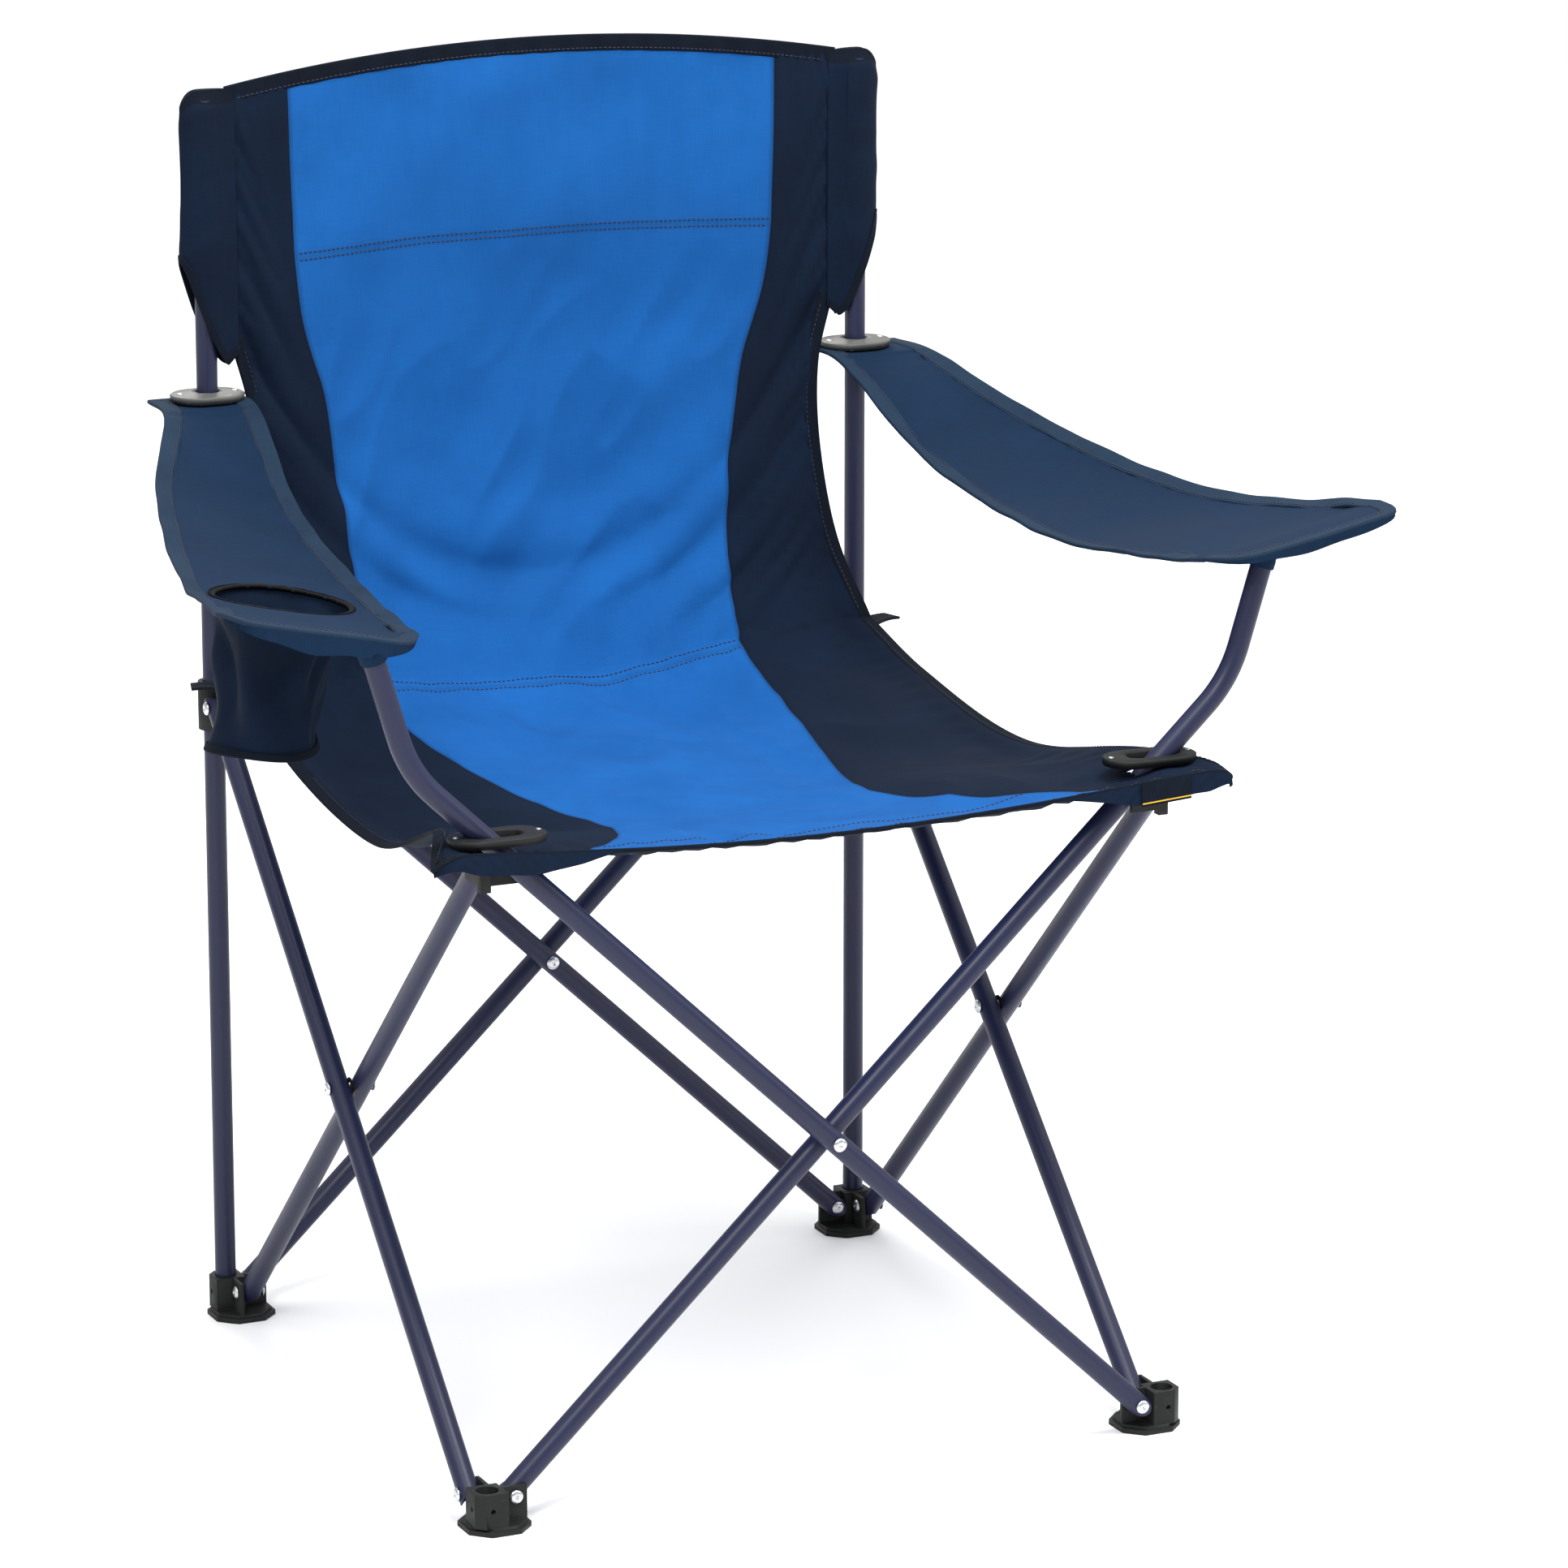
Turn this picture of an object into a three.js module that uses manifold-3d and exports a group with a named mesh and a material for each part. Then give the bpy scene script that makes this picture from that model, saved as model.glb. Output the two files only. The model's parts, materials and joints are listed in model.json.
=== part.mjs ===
// A folding camp chair: four pairs of crossed steel tubes between moulded corners, two rear posts,
// and a fabric back, seat and armrests. Lengths are millimetres. +X is the viewer's right when facing
// the chair, the chair faces -Y, +Z is up, and the floor is z = 0 under the middle of the four feet.
import * as THREE from "three";
import { mergeVertices } from "three/addons/utils/BufferGeometryUtils.js";
import Module from "manifold-3d";

const wasm = await Module();
wasm.setup();

// ---- driving values -------------------------------------------------------------------------------
const GAP = 0.3; // clearance between pieces that touch

const TUBE_RADIUS = 7.5;
const TUBE_WALL = 1.0;
const TUBE_SIDES = 16;

// Each side of the chair is one X of two equal tubes, so the pivots form a square that shrinks as it folds.
const PIVOT_HALF = 231; // from the middle of a side to its pivots
const PIVOT_LOW = 21; // height of the foot pivots
const PIVOT_HIGH = 458; // height of the seat corner pivots
const OUTER_PLANE = 257; // distance of the outer tube's centre line from the chair's middle
const INNER_PLANE = 240.5; // the same for the inner tube of that X
const POST_AT = 252; // the posts stand at x = +-POST_AT, y = POST_AT

const POST_BOTTOM = 8;
const POST_TOP = 889;
const BACK_TOP = 896; // top edge of the back at the posts

const PLATE_THICKNESS = 3; // walls of the moulded corners that carry the rivets
const FOOT_HEIGHT = 29;
const SOCKET_FLOOR = 6;

const RIVET_RADIUS = 2.5;
const RIVET_HEAD_RADIUS = 4.8;
const RIVET_HEAD_HEIGHT = 2.2;
const RIVET_SIDES = 10;
const BORE_SIDES = 20; // of the round holes and rings that a tube runs in

const FABRIC = 2.5; // thickness of a fabric layer, with its coating and hems

// ---- colours --------------------------------------------------------------------------------------
const paint = (color, roughness, metalness) => ({ color, roughness, metalness });
const TUBE_PAINT = paint(0x2d305a, 0.35, 0.4);
const PLASTIC = paint(0x191c1c, 0.5, 0.0);
const ZINC = paint(0xc8ccd0, 0.3, 0.9);
const BLUE_CLOTH = paint(0x2368c4, 0.85, 0.0);
const NAVY_CLOTH = paint(0x1c2d46, 0.9, 0.0);
const SILVER_PLASTIC = paint(0xb9bab4, 0.45, 0.1);

// ---- helpers --------------------------------------------------------------------------------------
const chair = new THREE.Group();
chair.name = "folding_camp_chair";

function solid(geometry) {
  const bare = geometry.index ? geometry.toNonIndexed() : geometry.clone();
  bare.deleteAttribute("normal");
  bare.deleteAttribute("uv");
  const merged = mergeVertices(bare, 1e-4);
  return new wasm.Manifold(
    new wasm.Mesh({
      numProp: 3,
      vertProperties: merged.attributes.position.array,
      triVerts: new Uint32Array(merged.index.array),
    }),
  );
}

// Puts a solid in the chair as a named mesh: mirrored in x if asked, then turned clockwise by quarter turns.
function add(name, body, { color, roughness, metalness }, { turns = 0, mirror = false } = {}) {
  const { numProp, vertProperties, triVerts } = body.getMesh();
  const points = new Float32Array((vertProperties.length / numProp) * 3);
  for (let i = 0; i * numProp < vertProperties.length; i++) {
    points.set(vertProperties.subarray(i * numProp, i * numProp + 3), i * 3);
  }
  const triangles = new Uint32Array(triVerts);
  if (mirror) {
    triangles.reverse(); // keeps the faces pointing outwards
  }
  const geometry = new THREE.BufferGeometry();
  geometry.setAttribute("position", new THREE.BufferAttribute(points, 3));
  geometry.setIndex(new THREE.BufferAttribute(triangles, 1));
  geometry.scale(mirror ? -1 : 1, 1, 1);
  geometry.rotateZ((-turns * Math.PI) / 2);
  geometry.computeVertexNormals();
  const mesh = new THREE.Mesh(geometry, new THREE.MeshStandardMaterial({ color, roughness, metalness }));
  mesh.name = name;
  chair.add(mesh);
}

const union = (...bodies) => bodies.reduce((sum, body) => sum.add(body));

// A block between two limits along each axis.
function box([x0, x1], [y0, y1], [z0, z1]) {
  const block = new THREE.BoxGeometry(x1 - x0, y1 - y0, z1 - z0);
  return solid(block.translate((x0 + x1) / 2, (y0 + y1) / 2, (z0 + z1) / 2));
}

// A round bar between two points.
function bar(from, to, radius, sides) {
  const start = new THREE.Vector3(...from);
  const end = new THREE.Vector3(...to);
  const along = end.clone().sub(start);
  const geometry = new THREE.CylinderGeometry(radius, radius, along.length(), sides);
  geometry.applyQuaternion(
    new THREE.Quaternion().setFromUnitVectors(new THREE.Vector3(0, 1, 0), along.clone().normalize()),
  );
  return solid(geometry.translate(...start.add(end).multiplyScalar(0.5).toArray()));
}

// A round upright bar, such as the space that a post takes.
const upright = (x, y, [z0, z1], radius, sides = BORE_SIDES) => bar([x, y, z0], [x, y, z1], radius, sides);

// An outline in the XY plane given as points, raised from z0 to z1.
function prism(points, z0, z1) {
  const outline = new THREE.Shape(points.map(([x, y]) => new THREE.Vector2(x, y)));
  const geometry = new THREE.ExtrudeGeometry(outline, { depth: z1 - z0, bevelEnabled: false });
  return solid(geometry.translate(0, 0, z0));
}

// A hollow tube whose centre line is the given curve, in steps of equal parameter.
function tubeAlong(curve, steps) {
  curve.getUtoTmapping = (u) => u;
  const section = new THREE.Shape();
  section.absarc(0, 0, TUBE_RADIUS, 0, 2 * Math.PI);
  const bore = new THREE.Path();
  bore.absarc(0, 0, TUBE_RADIUS - TUBE_WALL, 0, 2 * Math.PI, true);
  section.holes.push(bore);
  const options = { extrudePath: curve, steps, curveSegments: TUBE_SIDES / 2, bevelEnabled: false };
  return solid(new THREE.ExtrudeGeometry(section, options));
}

// A closed sheet: surface(across, along) gives a point for each in 0..1, and the sheet reaches from
// `below` it to `above` it, where above is towards a sitter.
function sheet(surface, columns, rows, below = FABRIC / 2, above = FABRIC / 2) {
  const step = 1e-3;
  const at = (i, j, height) => {
    const [a, b] = [i / columns, j / rows];
    const point = surface(a, b);
    const across = surface(Math.min(a + step, 1), b).sub(surface(Math.max(a - step, 0), b));
    const along = surface(a, Math.min(b + step, 1)).sub(surface(a, Math.max(b - step, 0)));
    return point.add(along.cross(across).normalize().multiplyScalar(height));
  };
  const positions = [];
  const quad = (p, q, r, s) => positions.push(p, r, q, p, s, r);
  const bottom = (i, j) => at(i, j, -below);
  const top = (i, j) => at(i, j, above);
  for (let i = 0; i < columns; i++) {
    for (let j = 0; j < rows; j++) {
      quad(top(i, j), top(i + 1, j), top(i + 1, j + 1), top(i, j + 1));
      quad(bottom(i, j), bottom(i, j + 1), bottom(i + 1, j + 1), bottom(i + 1, j));
    }
    quad(bottom(i, 0), bottom(i + 1, 0), top(i + 1, 0), top(i, 0));
    quad(top(i, rows), top(i + 1, rows), bottom(i + 1, rows), bottom(i, rows));
  }
  for (let j = 0; j < rows; j++) {
    quad(top(0, j), top(0, j + 1), bottom(0, j + 1), bottom(0, j));
    quad(bottom(columns, j), bottom(columns, j + 1), top(columns, j + 1), top(columns, j));
  }
  return solid(new THREE.BufferGeometry().setFromPoints(positions));
}

// ---- crossed tubes ----------------------------------------------------------------------------------
// Everything of one side is drawn at the front (y < 0) and turned clockwise by quarter turns:
// 0 front, 1 left, 2 rear, 3 right.
const SIDES = ["front", "left", "rear", "right"];
const TUBE_END_RADIUS = TUBE_RADIUS + GAP; // the ends are rounded off around their pivots
const CENTRE_HEIGHT = (PIVOT_LOW + PIVOT_HIGH) / 2;
const TUBE_SLOPE = new THREE.Vector3(2 * PIVOT_HALF, 0, PIVOT_HIGH - PIVOT_LOW).normalize();

const ARM_BEND = 98; // from the seat corner pivot to the corner of the arm's bend
const ARM_TIP_LENGTH = 88; // from the corner of the bend to the tip
const ARM_TIP_LEAN = THREE.MathUtils.degToRad(17); // of the tip from upright, outwards
const ARM_BEND_SETBACK = 24; // how far before and after its corner the bend starts and ends
const ARM_BEND_STEPS = 6;

const HOLE_REACH = 20; // half the length of a cutter that goes right through

function rivetHole(x, y, z) {
  return bar([x, y - HOLE_REACH, z], [x, y + HOLE_REACH, z], RIVET_RADIUS + GAP, RIVET_SIDES);
}

// What is cut off a tube end at a pivot so that it turns inside the moulding; `away` points out of the end.
function endCutter(pivot, away) {
  const block = new THREE.BoxGeometry(HOLE_REACH, 1.5 * HOLE_REACH, 2 * HOLE_REACH);
  block.translate(HOLE_REACH / 2, 0, 0);
  block.rotateY(-Math.atan2(away.z, away.x));
  block.translate(...pivot.toArray());
  const ends = [-HOLE_REACH, HOLE_REACH].map((reach) => [pivot.x, pivot.y + reach, pivot.z]);
  return solid(block).subtract(bar(...ends, TUBE_END_RADIUS, BORE_SIDES));
}

// A straight run, a rounded bend and a straight tip; the two straights take one step each.
class ArmTubePath extends THREE.Curve {
  constructor(start, corner, slope, lean) {
    super();
    const bendStart = corner.clone().addScaledVector(slope, -ARM_BEND_SETBACK);
    const bendEnd = corner.clone().addScaledVector(lean, ARM_BEND_SETBACK);
    this.run = new THREE.LineCurve3(start, bendStart);
    this.bend = new THREE.QuadraticBezierCurve3(bendStart, corner, bendEnd);
    this.tip = new THREE.LineCurve3(bendEnd, corner.clone().addScaledVector(lean, ARM_TIP_LENGTH));
  }
  getPoint(t) {
    const step = t * (ARM_BEND_STEPS + 2);
    if (step < 1) {
      return this.run.getPoint(step);
    }
    if (step > ARM_BEND_STEPS + 1) {
      return this.tip.getPoint(step - ARM_BEND_STEPS - 1);
    }
    return this.bend.getPoint((step - 1) / ARM_BEND_STEPS);
  }
}

// direction +1 runs from the left foot to the right seat corner, -1 from the right foot to the left one.
function crossTube(y, direction, withArm) {
  const slope = TUBE_SLOPE.clone();
  slope.x *= direction;
  const low = new THREE.Vector3(-direction * PIVOT_HALF, y, PIVOT_LOW);
  const high = new THREE.Vector3(direction * PIVOT_HALF, y, PIVOT_HIGH);
  const start = low.clone().addScaledVector(slope, -TUBE_END_RADIUS - 1);
  const end = high.clone().addScaledVector(slope, TUBE_END_RADIUS + 1);
  const cuts = [
    rivetHole(low.x, y, PIVOT_LOW),
    rivetHole(high.x, y, PIVOT_HIGH),
    rivetHole(0, y, CENTRE_HEIGHT),
    endCutter(low, slope.clone().negate()),
  ];
  let tube;
  if (withArm) {
    const corner = high.clone().addScaledVector(slope, ARM_BEND);
    const lean = new THREE.Vector3(direction * Math.sin(ARM_TIP_LEAN), 0, Math.cos(ARM_TIP_LEAN));
    tube = tubeAlong(new ArmTubePath(start, corner, slope, lean), ARM_BEND_STEPS + 2);
  } else {
    tube = tubeAlong(new THREE.LineCurve3(start, end), 1);
    cuts.push(endCutter(high, slope));
  }
  return cuts.reduce((body, cut) => body.subtract(cut), tube);
}

// A rivet through everything from y0 to y1, with a domed head at each end.
function rivet(x, y0, y1, z) {
  const half = (y1 - y0) / 2 + GAP;
  const profile = [
    [0, -half - RIVET_HEAD_HEIGHT],
    [RIVET_HEAD_RADIUS * 0.7, -half - RIVET_HEAD_HEIGHT * 0.75],
    [RIVET_HEAD_RADIUS, -half],
    [RIVET_RADIUS, -half],
    [RIVET_RADIUS, half],
    [RIVET_HEAD_RADIUS, half],
    [RIVET_HEAD_RADIUS * 0.7, half + RIVET_HEAD_HEIGHT * 0.75],
    [0, half + RIVET_HEAD_HEIGHT],
  ];
  const geometry = new THREE.LatheGeometry(
    profile.map(([radius, height]) => new THREE.Vector2(radius, height)),
    RIVET_SIDES,
  );
  return solid(geometry.translate(x, (y0 + y1) / 2, z));
}

// The washer that keeps the two tubes of an X apart at their crossing.
const SPACER_RADIUS = 6.5;

function crossingSpacer() {
  const gap = OUTER_PLANE - INNER_PLANE - 2 * TUBE_RADIUS;
  const middle = -(OUTER_PLANE + INNER_PLANE) / 2;
  const faces = [middle - gap / 2 + GAP, middle + gap / 2 - GAP];
  const ends = faces.map((y) => [0, y, CENTRE_HEIGHT]);
  return bar(...ends, SPACER_RADIUS, TUBE_SIDES).subtract(rivetHole(0, middle, CENTRE_HEIGHT));
}

// Where the rivets of a moulded corner start and end, from the chair's middle.
const OUTER_WALL = [OUTER_PLANE - TUBE_RADIUS - GAP - PLATE_THICKNESS, OUTER_PLANE - TUBE_RADIUS - GAP];
const INNER_WALL = [INNER_PLANE + TUBE_RADIUS + GAP, INNER_PLANE + TUBE_RADIUS + GAP + PLATE_THICKNESS];
const OUTER_RIVET = [-OUTER_PLANE - TUBE_RADIUS, -OUTER_WALL[0]];
const INNER_RIVET = [-INNER_WALL[1], -INNER_PLANE + TUBE_RADIUS];
const CENTRE_RIVET = [OUTER_RIVET[0], INNER_RIVET[1]];

function buildSide(side, turns) {
  const withArm = side === "front";
  add(side + "_tube_outer", crossTube(-OUTER_PLANE, -1, withArm), TUBE_PAINT, { turns });
  add(side + "_tube_inner", crossTube(-INNER_PLANE, 1, withArm), TUBE_PAINT, { turns });
  add(side + "_spacer", crossingSpacer(), PLASTIC, { turns });
  add(side + "_rivet_centre", rivet(0, ...CENTRE_RIVET, CENTRE_HEIGHT), ZINC, { turns });
  add(side + "_rivet_foot_outer", rivet(PIVOT_HALF, ...OUTER_RIVET, PIVOT_LOW), ZINC, { turns });
  add(side + "_rivet_foot_inner", rivet(-PIVOT_HALF, ...INNER_RIVET, PIVOT_LOW), ZINC, { turns });
  add(side + "_rivet_top_outer", rivet(-PIVOT_HALF, ...OUTER_RIVET, PIVOT_HIGH), ZINC, { turns });
  add(side + "_rivet_top_inner", rivet(PIVOT_HALF, ...INNER_RIVET, PIVOT_HIGH), ZINC, { turns });
}

// ---- moulded corners --------------------------------------------------------------------------------
// Drawn at the front right corner in its own frame: u runs outward to the right, w outward to the front.
const SOCKET_EDGE = POST_AT - 11.2; // inner faces of the block that holds the post
const SOCKET_OUTER = 263; // its outer faces
const SOCKET_CHAMFER = 6;
const FOOT_INNER = 221; // extents of the flange along u and w
const FOOT_OUTER = 266;
const FOOT_CHAMFER = 12;
const FLANGE_TOP = 3.5;
const BEVEL_TOP = 5.5; // of the narrower step on the flange
const BEVEL_INSET = 2;
const PIN_HEIGHT = 17; // of the small cross holes in the foot
const PIN_RADIUS = 1.7;

const cornerPrism = (points, z0, z1) => prism(points.map(([u, w]) => [u, -w]).reverse(), z0, z1);
const cornerBox = (u, [w0, w1], z) => box(u, [-w1, -w0], z);

function chamferedSquare(inner, outer, chamfer) {
  return [
    [inner + chamfer, inner],
    [outer - chamfer, inner],
    [outer, inner + chamfer],
    [outer, outer - chamfer],
    [outer - chamfer, outer],
    [inner + chamfer, outer],
    [inner, outer - chamfer],
    [inner, inner + chamfer],
  ];
}

// The holes of the two rivets of a corner: one through the outer wall, one through the inner wall.
function wallRivetHoles(outerRivetAt, innerRivetAt) {
  const radius = RIVET_RADIUS + GAP;
  const [outer, inner] = [OUTER_WALL, INNER_WALL].map(([near, far]) => [near - 1, far + 1]);
  return union(
    bar(...outer.map((w) => outerRivetAt(w)), radius, RIVET_SIDES),
    bar(...inner.map((w) => innerRivetAt(w)), radius, RIVET_SIDES),
  );
}

// The post's bore, open at the top, and the small cross holes that lead into it.
function socketCuts() {
  const bore = upright(POST_AT, -POST_AT, [SOCKET_FLOOR, FOOT_HEIGHT + 1], TUBE_RADIUS + GAP);
  const centre = [POST_AT, -POST_AT, PIN_HEIGHT];
  const pinAcross = bar(centre, [POST_AT + HOLE_REACH, -POST_AT, PIN_HEIGHT], PIN_RADIUS, RIVET_SIDES);
  const pinForward = bar(centre, [POST_AT, -POST_AT - HOLE_REACH, PIN_HEIGHT], PIN_RADIUS, RIVET_SIDES);
  return union(bore, pinAcross, pinForward);
}

function foot() {
  const flange = cornerPrism(chamferedSquare(FOOT_INNER, FOOT_OUTER, FOOT_CHAMFER), 0, FLANGE_TOP);
  const [stepInner, stepOuter] = [FOOT_INNER + BEVEL_INSET, FOOT_OUTER - BEVEL_INSET];
  const bevel = cornerPrism(chamferedSquare(stepInner, stepOuter, FOOT_CHAMFER), FLANGE_TOP - 0.5, BEVEL_TOP);
  const height = [BEVEL_TOP - 0.5, FOOT_HEIGHT];
  const socket = cornerPrism(
    [
      [SOCKET_EDGE, SOCKET_EDGE],
      [SOCKET_OUTER, SOCKET_EDGE],
      [SOCKET_OUTER, SOCKET_OUTER - SOCKET_CHAMFER],
      [SOCKET_OUTER - SOCKET_CHAMFER, SOCKET_OUTER],
      [SOCKET_EDGE, SOCKET_OUTER],
    ],
    ...height,
  );
  const outerWall = cornerBox([stepInner, SOCKET_EDGE + 1], OUTER_WALL, height);
  const innerWall = cornerBox(INNER_WALL, [stepInner, SOCKET_EDGE + 1], height);
  const rivets = wallRivetHoles(
    (w) => [PIVOT_HALF, -w, PIVOT_LOW],
    (u) => [u, -PIVOT_HALF, PIVOT_LOW],
  );
  return union(flange, bevel, socket, outerWall, innerWall).subtract(socketCuts()).subtract(rivets);
}

// At the top the two tubes swap roles: the outer one comes from the other side of the corner.
const BOSS_RADIUS = 7.4;
const LUG_BOTTOM = PIVOT_HIGH - 16;
const LUG_TOP = PIVOT_HIGH + 1;

// A wall beside the outer tube and one beside the inner tube, each with a round boss at its pivot.
function cornerLugs(reach) {
  const [outerIn, outerOut] = OUTER_WALL;
  const [innerIn, innerOut] = INNER_WALL;
  const inner = PIVOT_HALF - BOSS_RADIUS;
  return union(
    cornerBox(OUTER_WALL, [inner, reach], [LUG_BOTTOM, LUG_TOP]),
    bar([outerIn, -PIVOT_HALF, PIVOT_HIGH], [outerOut, -PIVOT_HALF, PIVOT_HIGH], BOSS_RADIUS, BORE_SIDES),
    cornerBox([inner, reach], INNER_WALL, [LUG_BOTTOM, LUG_TOP]),
    bar([PIVOT_HALF, -innerIn, PIVOT_HIGH], [PIVOT_HALF, -innerOut, PIVOT_HIGH], BOSS_RADIUS, BORE_SIDES),
  );
}

const lugRivetHoles = () =>
  wallRivetHoles(
    (u) => [u, -PIVOT_HALF, PIVOT_HIGH],
    (w) => [PIVOT_HALF, -w, PIVOT_HIGH],
  );

// The bracket that joins the two tubes under a front corner of the seat.
const HUB_INNER = OUTER_WALL[0] - 2; // inner faces of its corner block
const HUB_BOTTOM = LUG_BOTTOM - 4;
const HUB_NOTCH_BOTTOM = LUG_BOTTOM + 8; // of the notch at the inside that lets the arm tube lean over it

function hub() {
  const corner = cornerBox([HUB_INNER, INNER_WALL[1]], [HUB_INNER, INNER_WALL[1]], [HUB_BOTTOM, LUG_TOP]);
  const notchSide = [HUB_INNER - 1, OUTER_WALL[0]];
  const notch = cornerBox(notchSide, [HUB_INNER - 1, INNER_WALL[0]], [HUB_NOTCH_BOTTOM, LUG_TOP + 1]);
  return union(cornerLugs(INNER_WALL[1]), corner.subtract(notch)).subtract(lugRivetHoles());
}

// The sleeve that slides up a post as the chair folds, with its two lugs.
const SLIDER_RADIUS = 11.2;
const SLIDER_BOTTOM = PIVOT_HIGH - 20;
const SLIDER_TOP = PIVOT_HIGH + 15;

function slider() {
  const ring = upright(POST_AT, -POST_AT, [SLIDER_BOTTOM, SLIDER_TOP], SLIDER_RADIUS);
  const bore = upright(POST_AT, -POST_AT, [SLIDER_BOTTOM - 1, SLIDER_TOP + 1], TUBE_RADIUS + GAP);
  return union(cornerLugs(SOCKET_EDGE + 3), ring).subtract(bore).subtract(lugRivetHoles());
}

function post() {
  const bottom = new THREE.Vector3(POST_AT, -POST_AT, POST_BOTTOM);
  const top = new THREE.Vector3(POST_AT, -POST_AT, POST_TOP);
  return tubeAlong(new THREE.LineCurve3(bottom, top), 1);
}

function buildCorners() {
  const corners = ["front_right", "front_left", "rear_left", "rear_right"];
  corners.forEach((corner, turns) => add("foot_" + corner, foot(), PLASTIC, { turns }));
  add("hub_right", hub(), PLASTIC);
  add("hub_left", hub(), PLASTIC, { turns: 1 });
  add("slider_left", slider(), PLASTIC, { turns: 2 });
  add("slider_right", slider(), PLASTIC, { turns: 3 });
  add("post_left", post(), TUBE_PAINT, { turns: 2 });
  add("post_right", post(), TUBE_PAINT, { turns: 3 });
}

// ---- fabric back and seat ---------------------------------------------------------------------------
// Each surface hangs between a side edge and a middle line, both given from top to bottom or rear to front.
const spline = (...points) => new THREE.CatmullRomCurve3(points.map((p) => new THREE.Vector3(...p)));
const SLEEVE_INNER = 236; // where the back's side sleeves begin
const SLEEVE_OUTER = 270;
const SLEEVE_BOTTOM = 701;
const SLEEVE_SLANT = THREE.MathUtils.degToRad(23.7); // of the sleeves' lower ends, from upright

const BACK_EDGE = spline(
  [SLEEVE_INNER - 4 * GAP, 252, BACK_TOP],
  [SLEEVE_INNER - 4 * GAP, 252, 810],
  [SLEEVE_INNER - 7 * GAP, 252, 726],
  [221, 251, 668],
  [221, 249, 610],
  [232, 240, 535],
  [246, 212, 480],
);
const BACK_MIDDLE = spline(
  [0, 256, 917],
  [0, 262, 815],
  [0, 274, 740],
  [0, 281, 680],
  [0, 277, 610],
  [0, 252, 525],
  [0, 213, 453],
);
// The left edge hangs lower than the right one. Both are given on the right.
const SEAT_RIGHT_EDGE = spline(
  [246, 212, 480],
  [242, 110, 461],
  [243, -60, 446],
  [262, -200, 471],
  [302, -281, 474],
);
const SEAT_LEFT_EDGE = spline(
  [246, 212, 480],
  [247, 110, 442],
  [250, -60, 426],
  [264, -200, 468],
  [302, -281, 474],
);
const SEAT_MIDDLE = spline(
  [0, 213, 453],
  [0, 110, 441],
  [0, -80, 438],
  [0, -180, 445],
  [0, -262, 454],
);
const SAG_POWER = 1.5; // how flat the sheets stay near their edges

// across runs 0..1 from the left edge to the right one, along runs 0..1 down the edges.
function hung(leftEdge, rightEdge, middle, sagPower) {
  return (across, along) => {
    const side = 2 * across - 1;
    const edge = (side < 0 ? leftEdge : rightEdge).getPoint(along);
    const point = edge.clone().lerp(middle.getPoint(along), (1 - side * side) ** sagPower);
    point.x = side * edge.x;
    return point;
  };
}

const part = (surface, from, to) => (across, along) => surface(across, from + (to - from) * along);

// The seat folds where its rear and front lengths meet, and stays flat over the front corners.
const SEAT_FOLD = 0.27;
const SEAT_BAND = 0.845;
const SEAT_GAP = 0.0008; // of the seat's length, left between its three pieces
const SLOT_REACH = [225.5, 264.5]; // of the slots that the arm tubes swing in
const SLOT_WIDTH = 16.6;
const SLOT_HEIGHT = 40; // of the cutter, from the pivots up

function armSlot(direction) {
  const y = direction > 0 ? -INNER_PLANE : -OUTER_PLANE;
  const reach = direction > 0 ? SLOT_REACH : SLOT_REACH.map((x) => -x).reverse();
  return box(reach, [y - SLOT_WIDTH / 2, y + SLOT_WIDTH / 2], [PIVOT_HIGH, PIVOT_HIGH + SLOT_HEIGHT]);
}

// The stiff oval that frames the slot on top of a seat corner.
const SEAT_PLATE_MIDDLE = 242;
const SEAT_PLATE_HALF = 16; // of its straight middle part
const SEAT_PLATE_RADIUS = 18;
const SEAT_PLATE_THICKNESS = 2.5;
const SEAT_PLATE_BOTTOM = PIVOT_HIGH + 18.5;

// Two half circles joined by straight lines, upright or lying along x.
function stadium(left, right, y, radius) {
  const outline = new THREE.Shape();
  outline.absarc(right, y, radius, -Math.PI / 2, Math.PI / 2);
  outline.absarc(left, y, radius, Math.PI / 2, (3 * Math.PI) / 2);
  return outline;
}

function seatPlate(direction) {
  const y = direction > 0 ? -INNER_PLANE : -OUTER_PLANE;
  const middle = direction * SEAT_PLATE_MIDDLE;
  const outline = stadium(middle - SEAT_PLATE_HALF, middle + SEAT_PLATE_HALF, y, SEAT_PLATE_RADIUS);
  const options = { depth: SEAT_PLATE_THICKNESS, bevelEnabled: false, curveSegments: 5 };
  const geometry = new THREE.ExtrudeGeometry(outline, options);
  return solid(geometry.translate(0, 0, SEAT_PLATE_BOTTOM)).subtract(armSlot(direction));
}

// A side sleeve of the back, open below and cut at a slant from its outer edge in.
function backSleeve() {
  const thickness = 2 * (TUBE_RADIUS + GAP + FABRIC);
  const [left, right] = [SLEEVE_INNER + thickness / 2, SLEEVE_OUTER - thickness / 2];
  const outline = stadium(left, right, -POST_AT, thickness / 2);
  const options = { depth: BACK_TOP - SLEEVE_BOTTOM, bevelEnabled: false, curveSegments: 4 };
  const sleeve = solid(new THREE.ExtrudeGeometry(outline, options).translate(0, 0, SLEEVE_BOTTOM));
  const bore = upright(POST_AT, -POST_AT, [SLEEVE_BOTTOM - 1, POST_TOP + GAP], TUBE_RADIUS + GAP);
  const slant = new THREE.BoxGeometry(120, 60, 300).translate(60, 0, 0).rotateY(SLEEVE_SLANT);
  slant.translate(SLEEVE_INNER, -POST_AT, SLEEVE_BOTTOM);
  return sleeve.subtract(bore).subtract(solid(slant));
}

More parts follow.
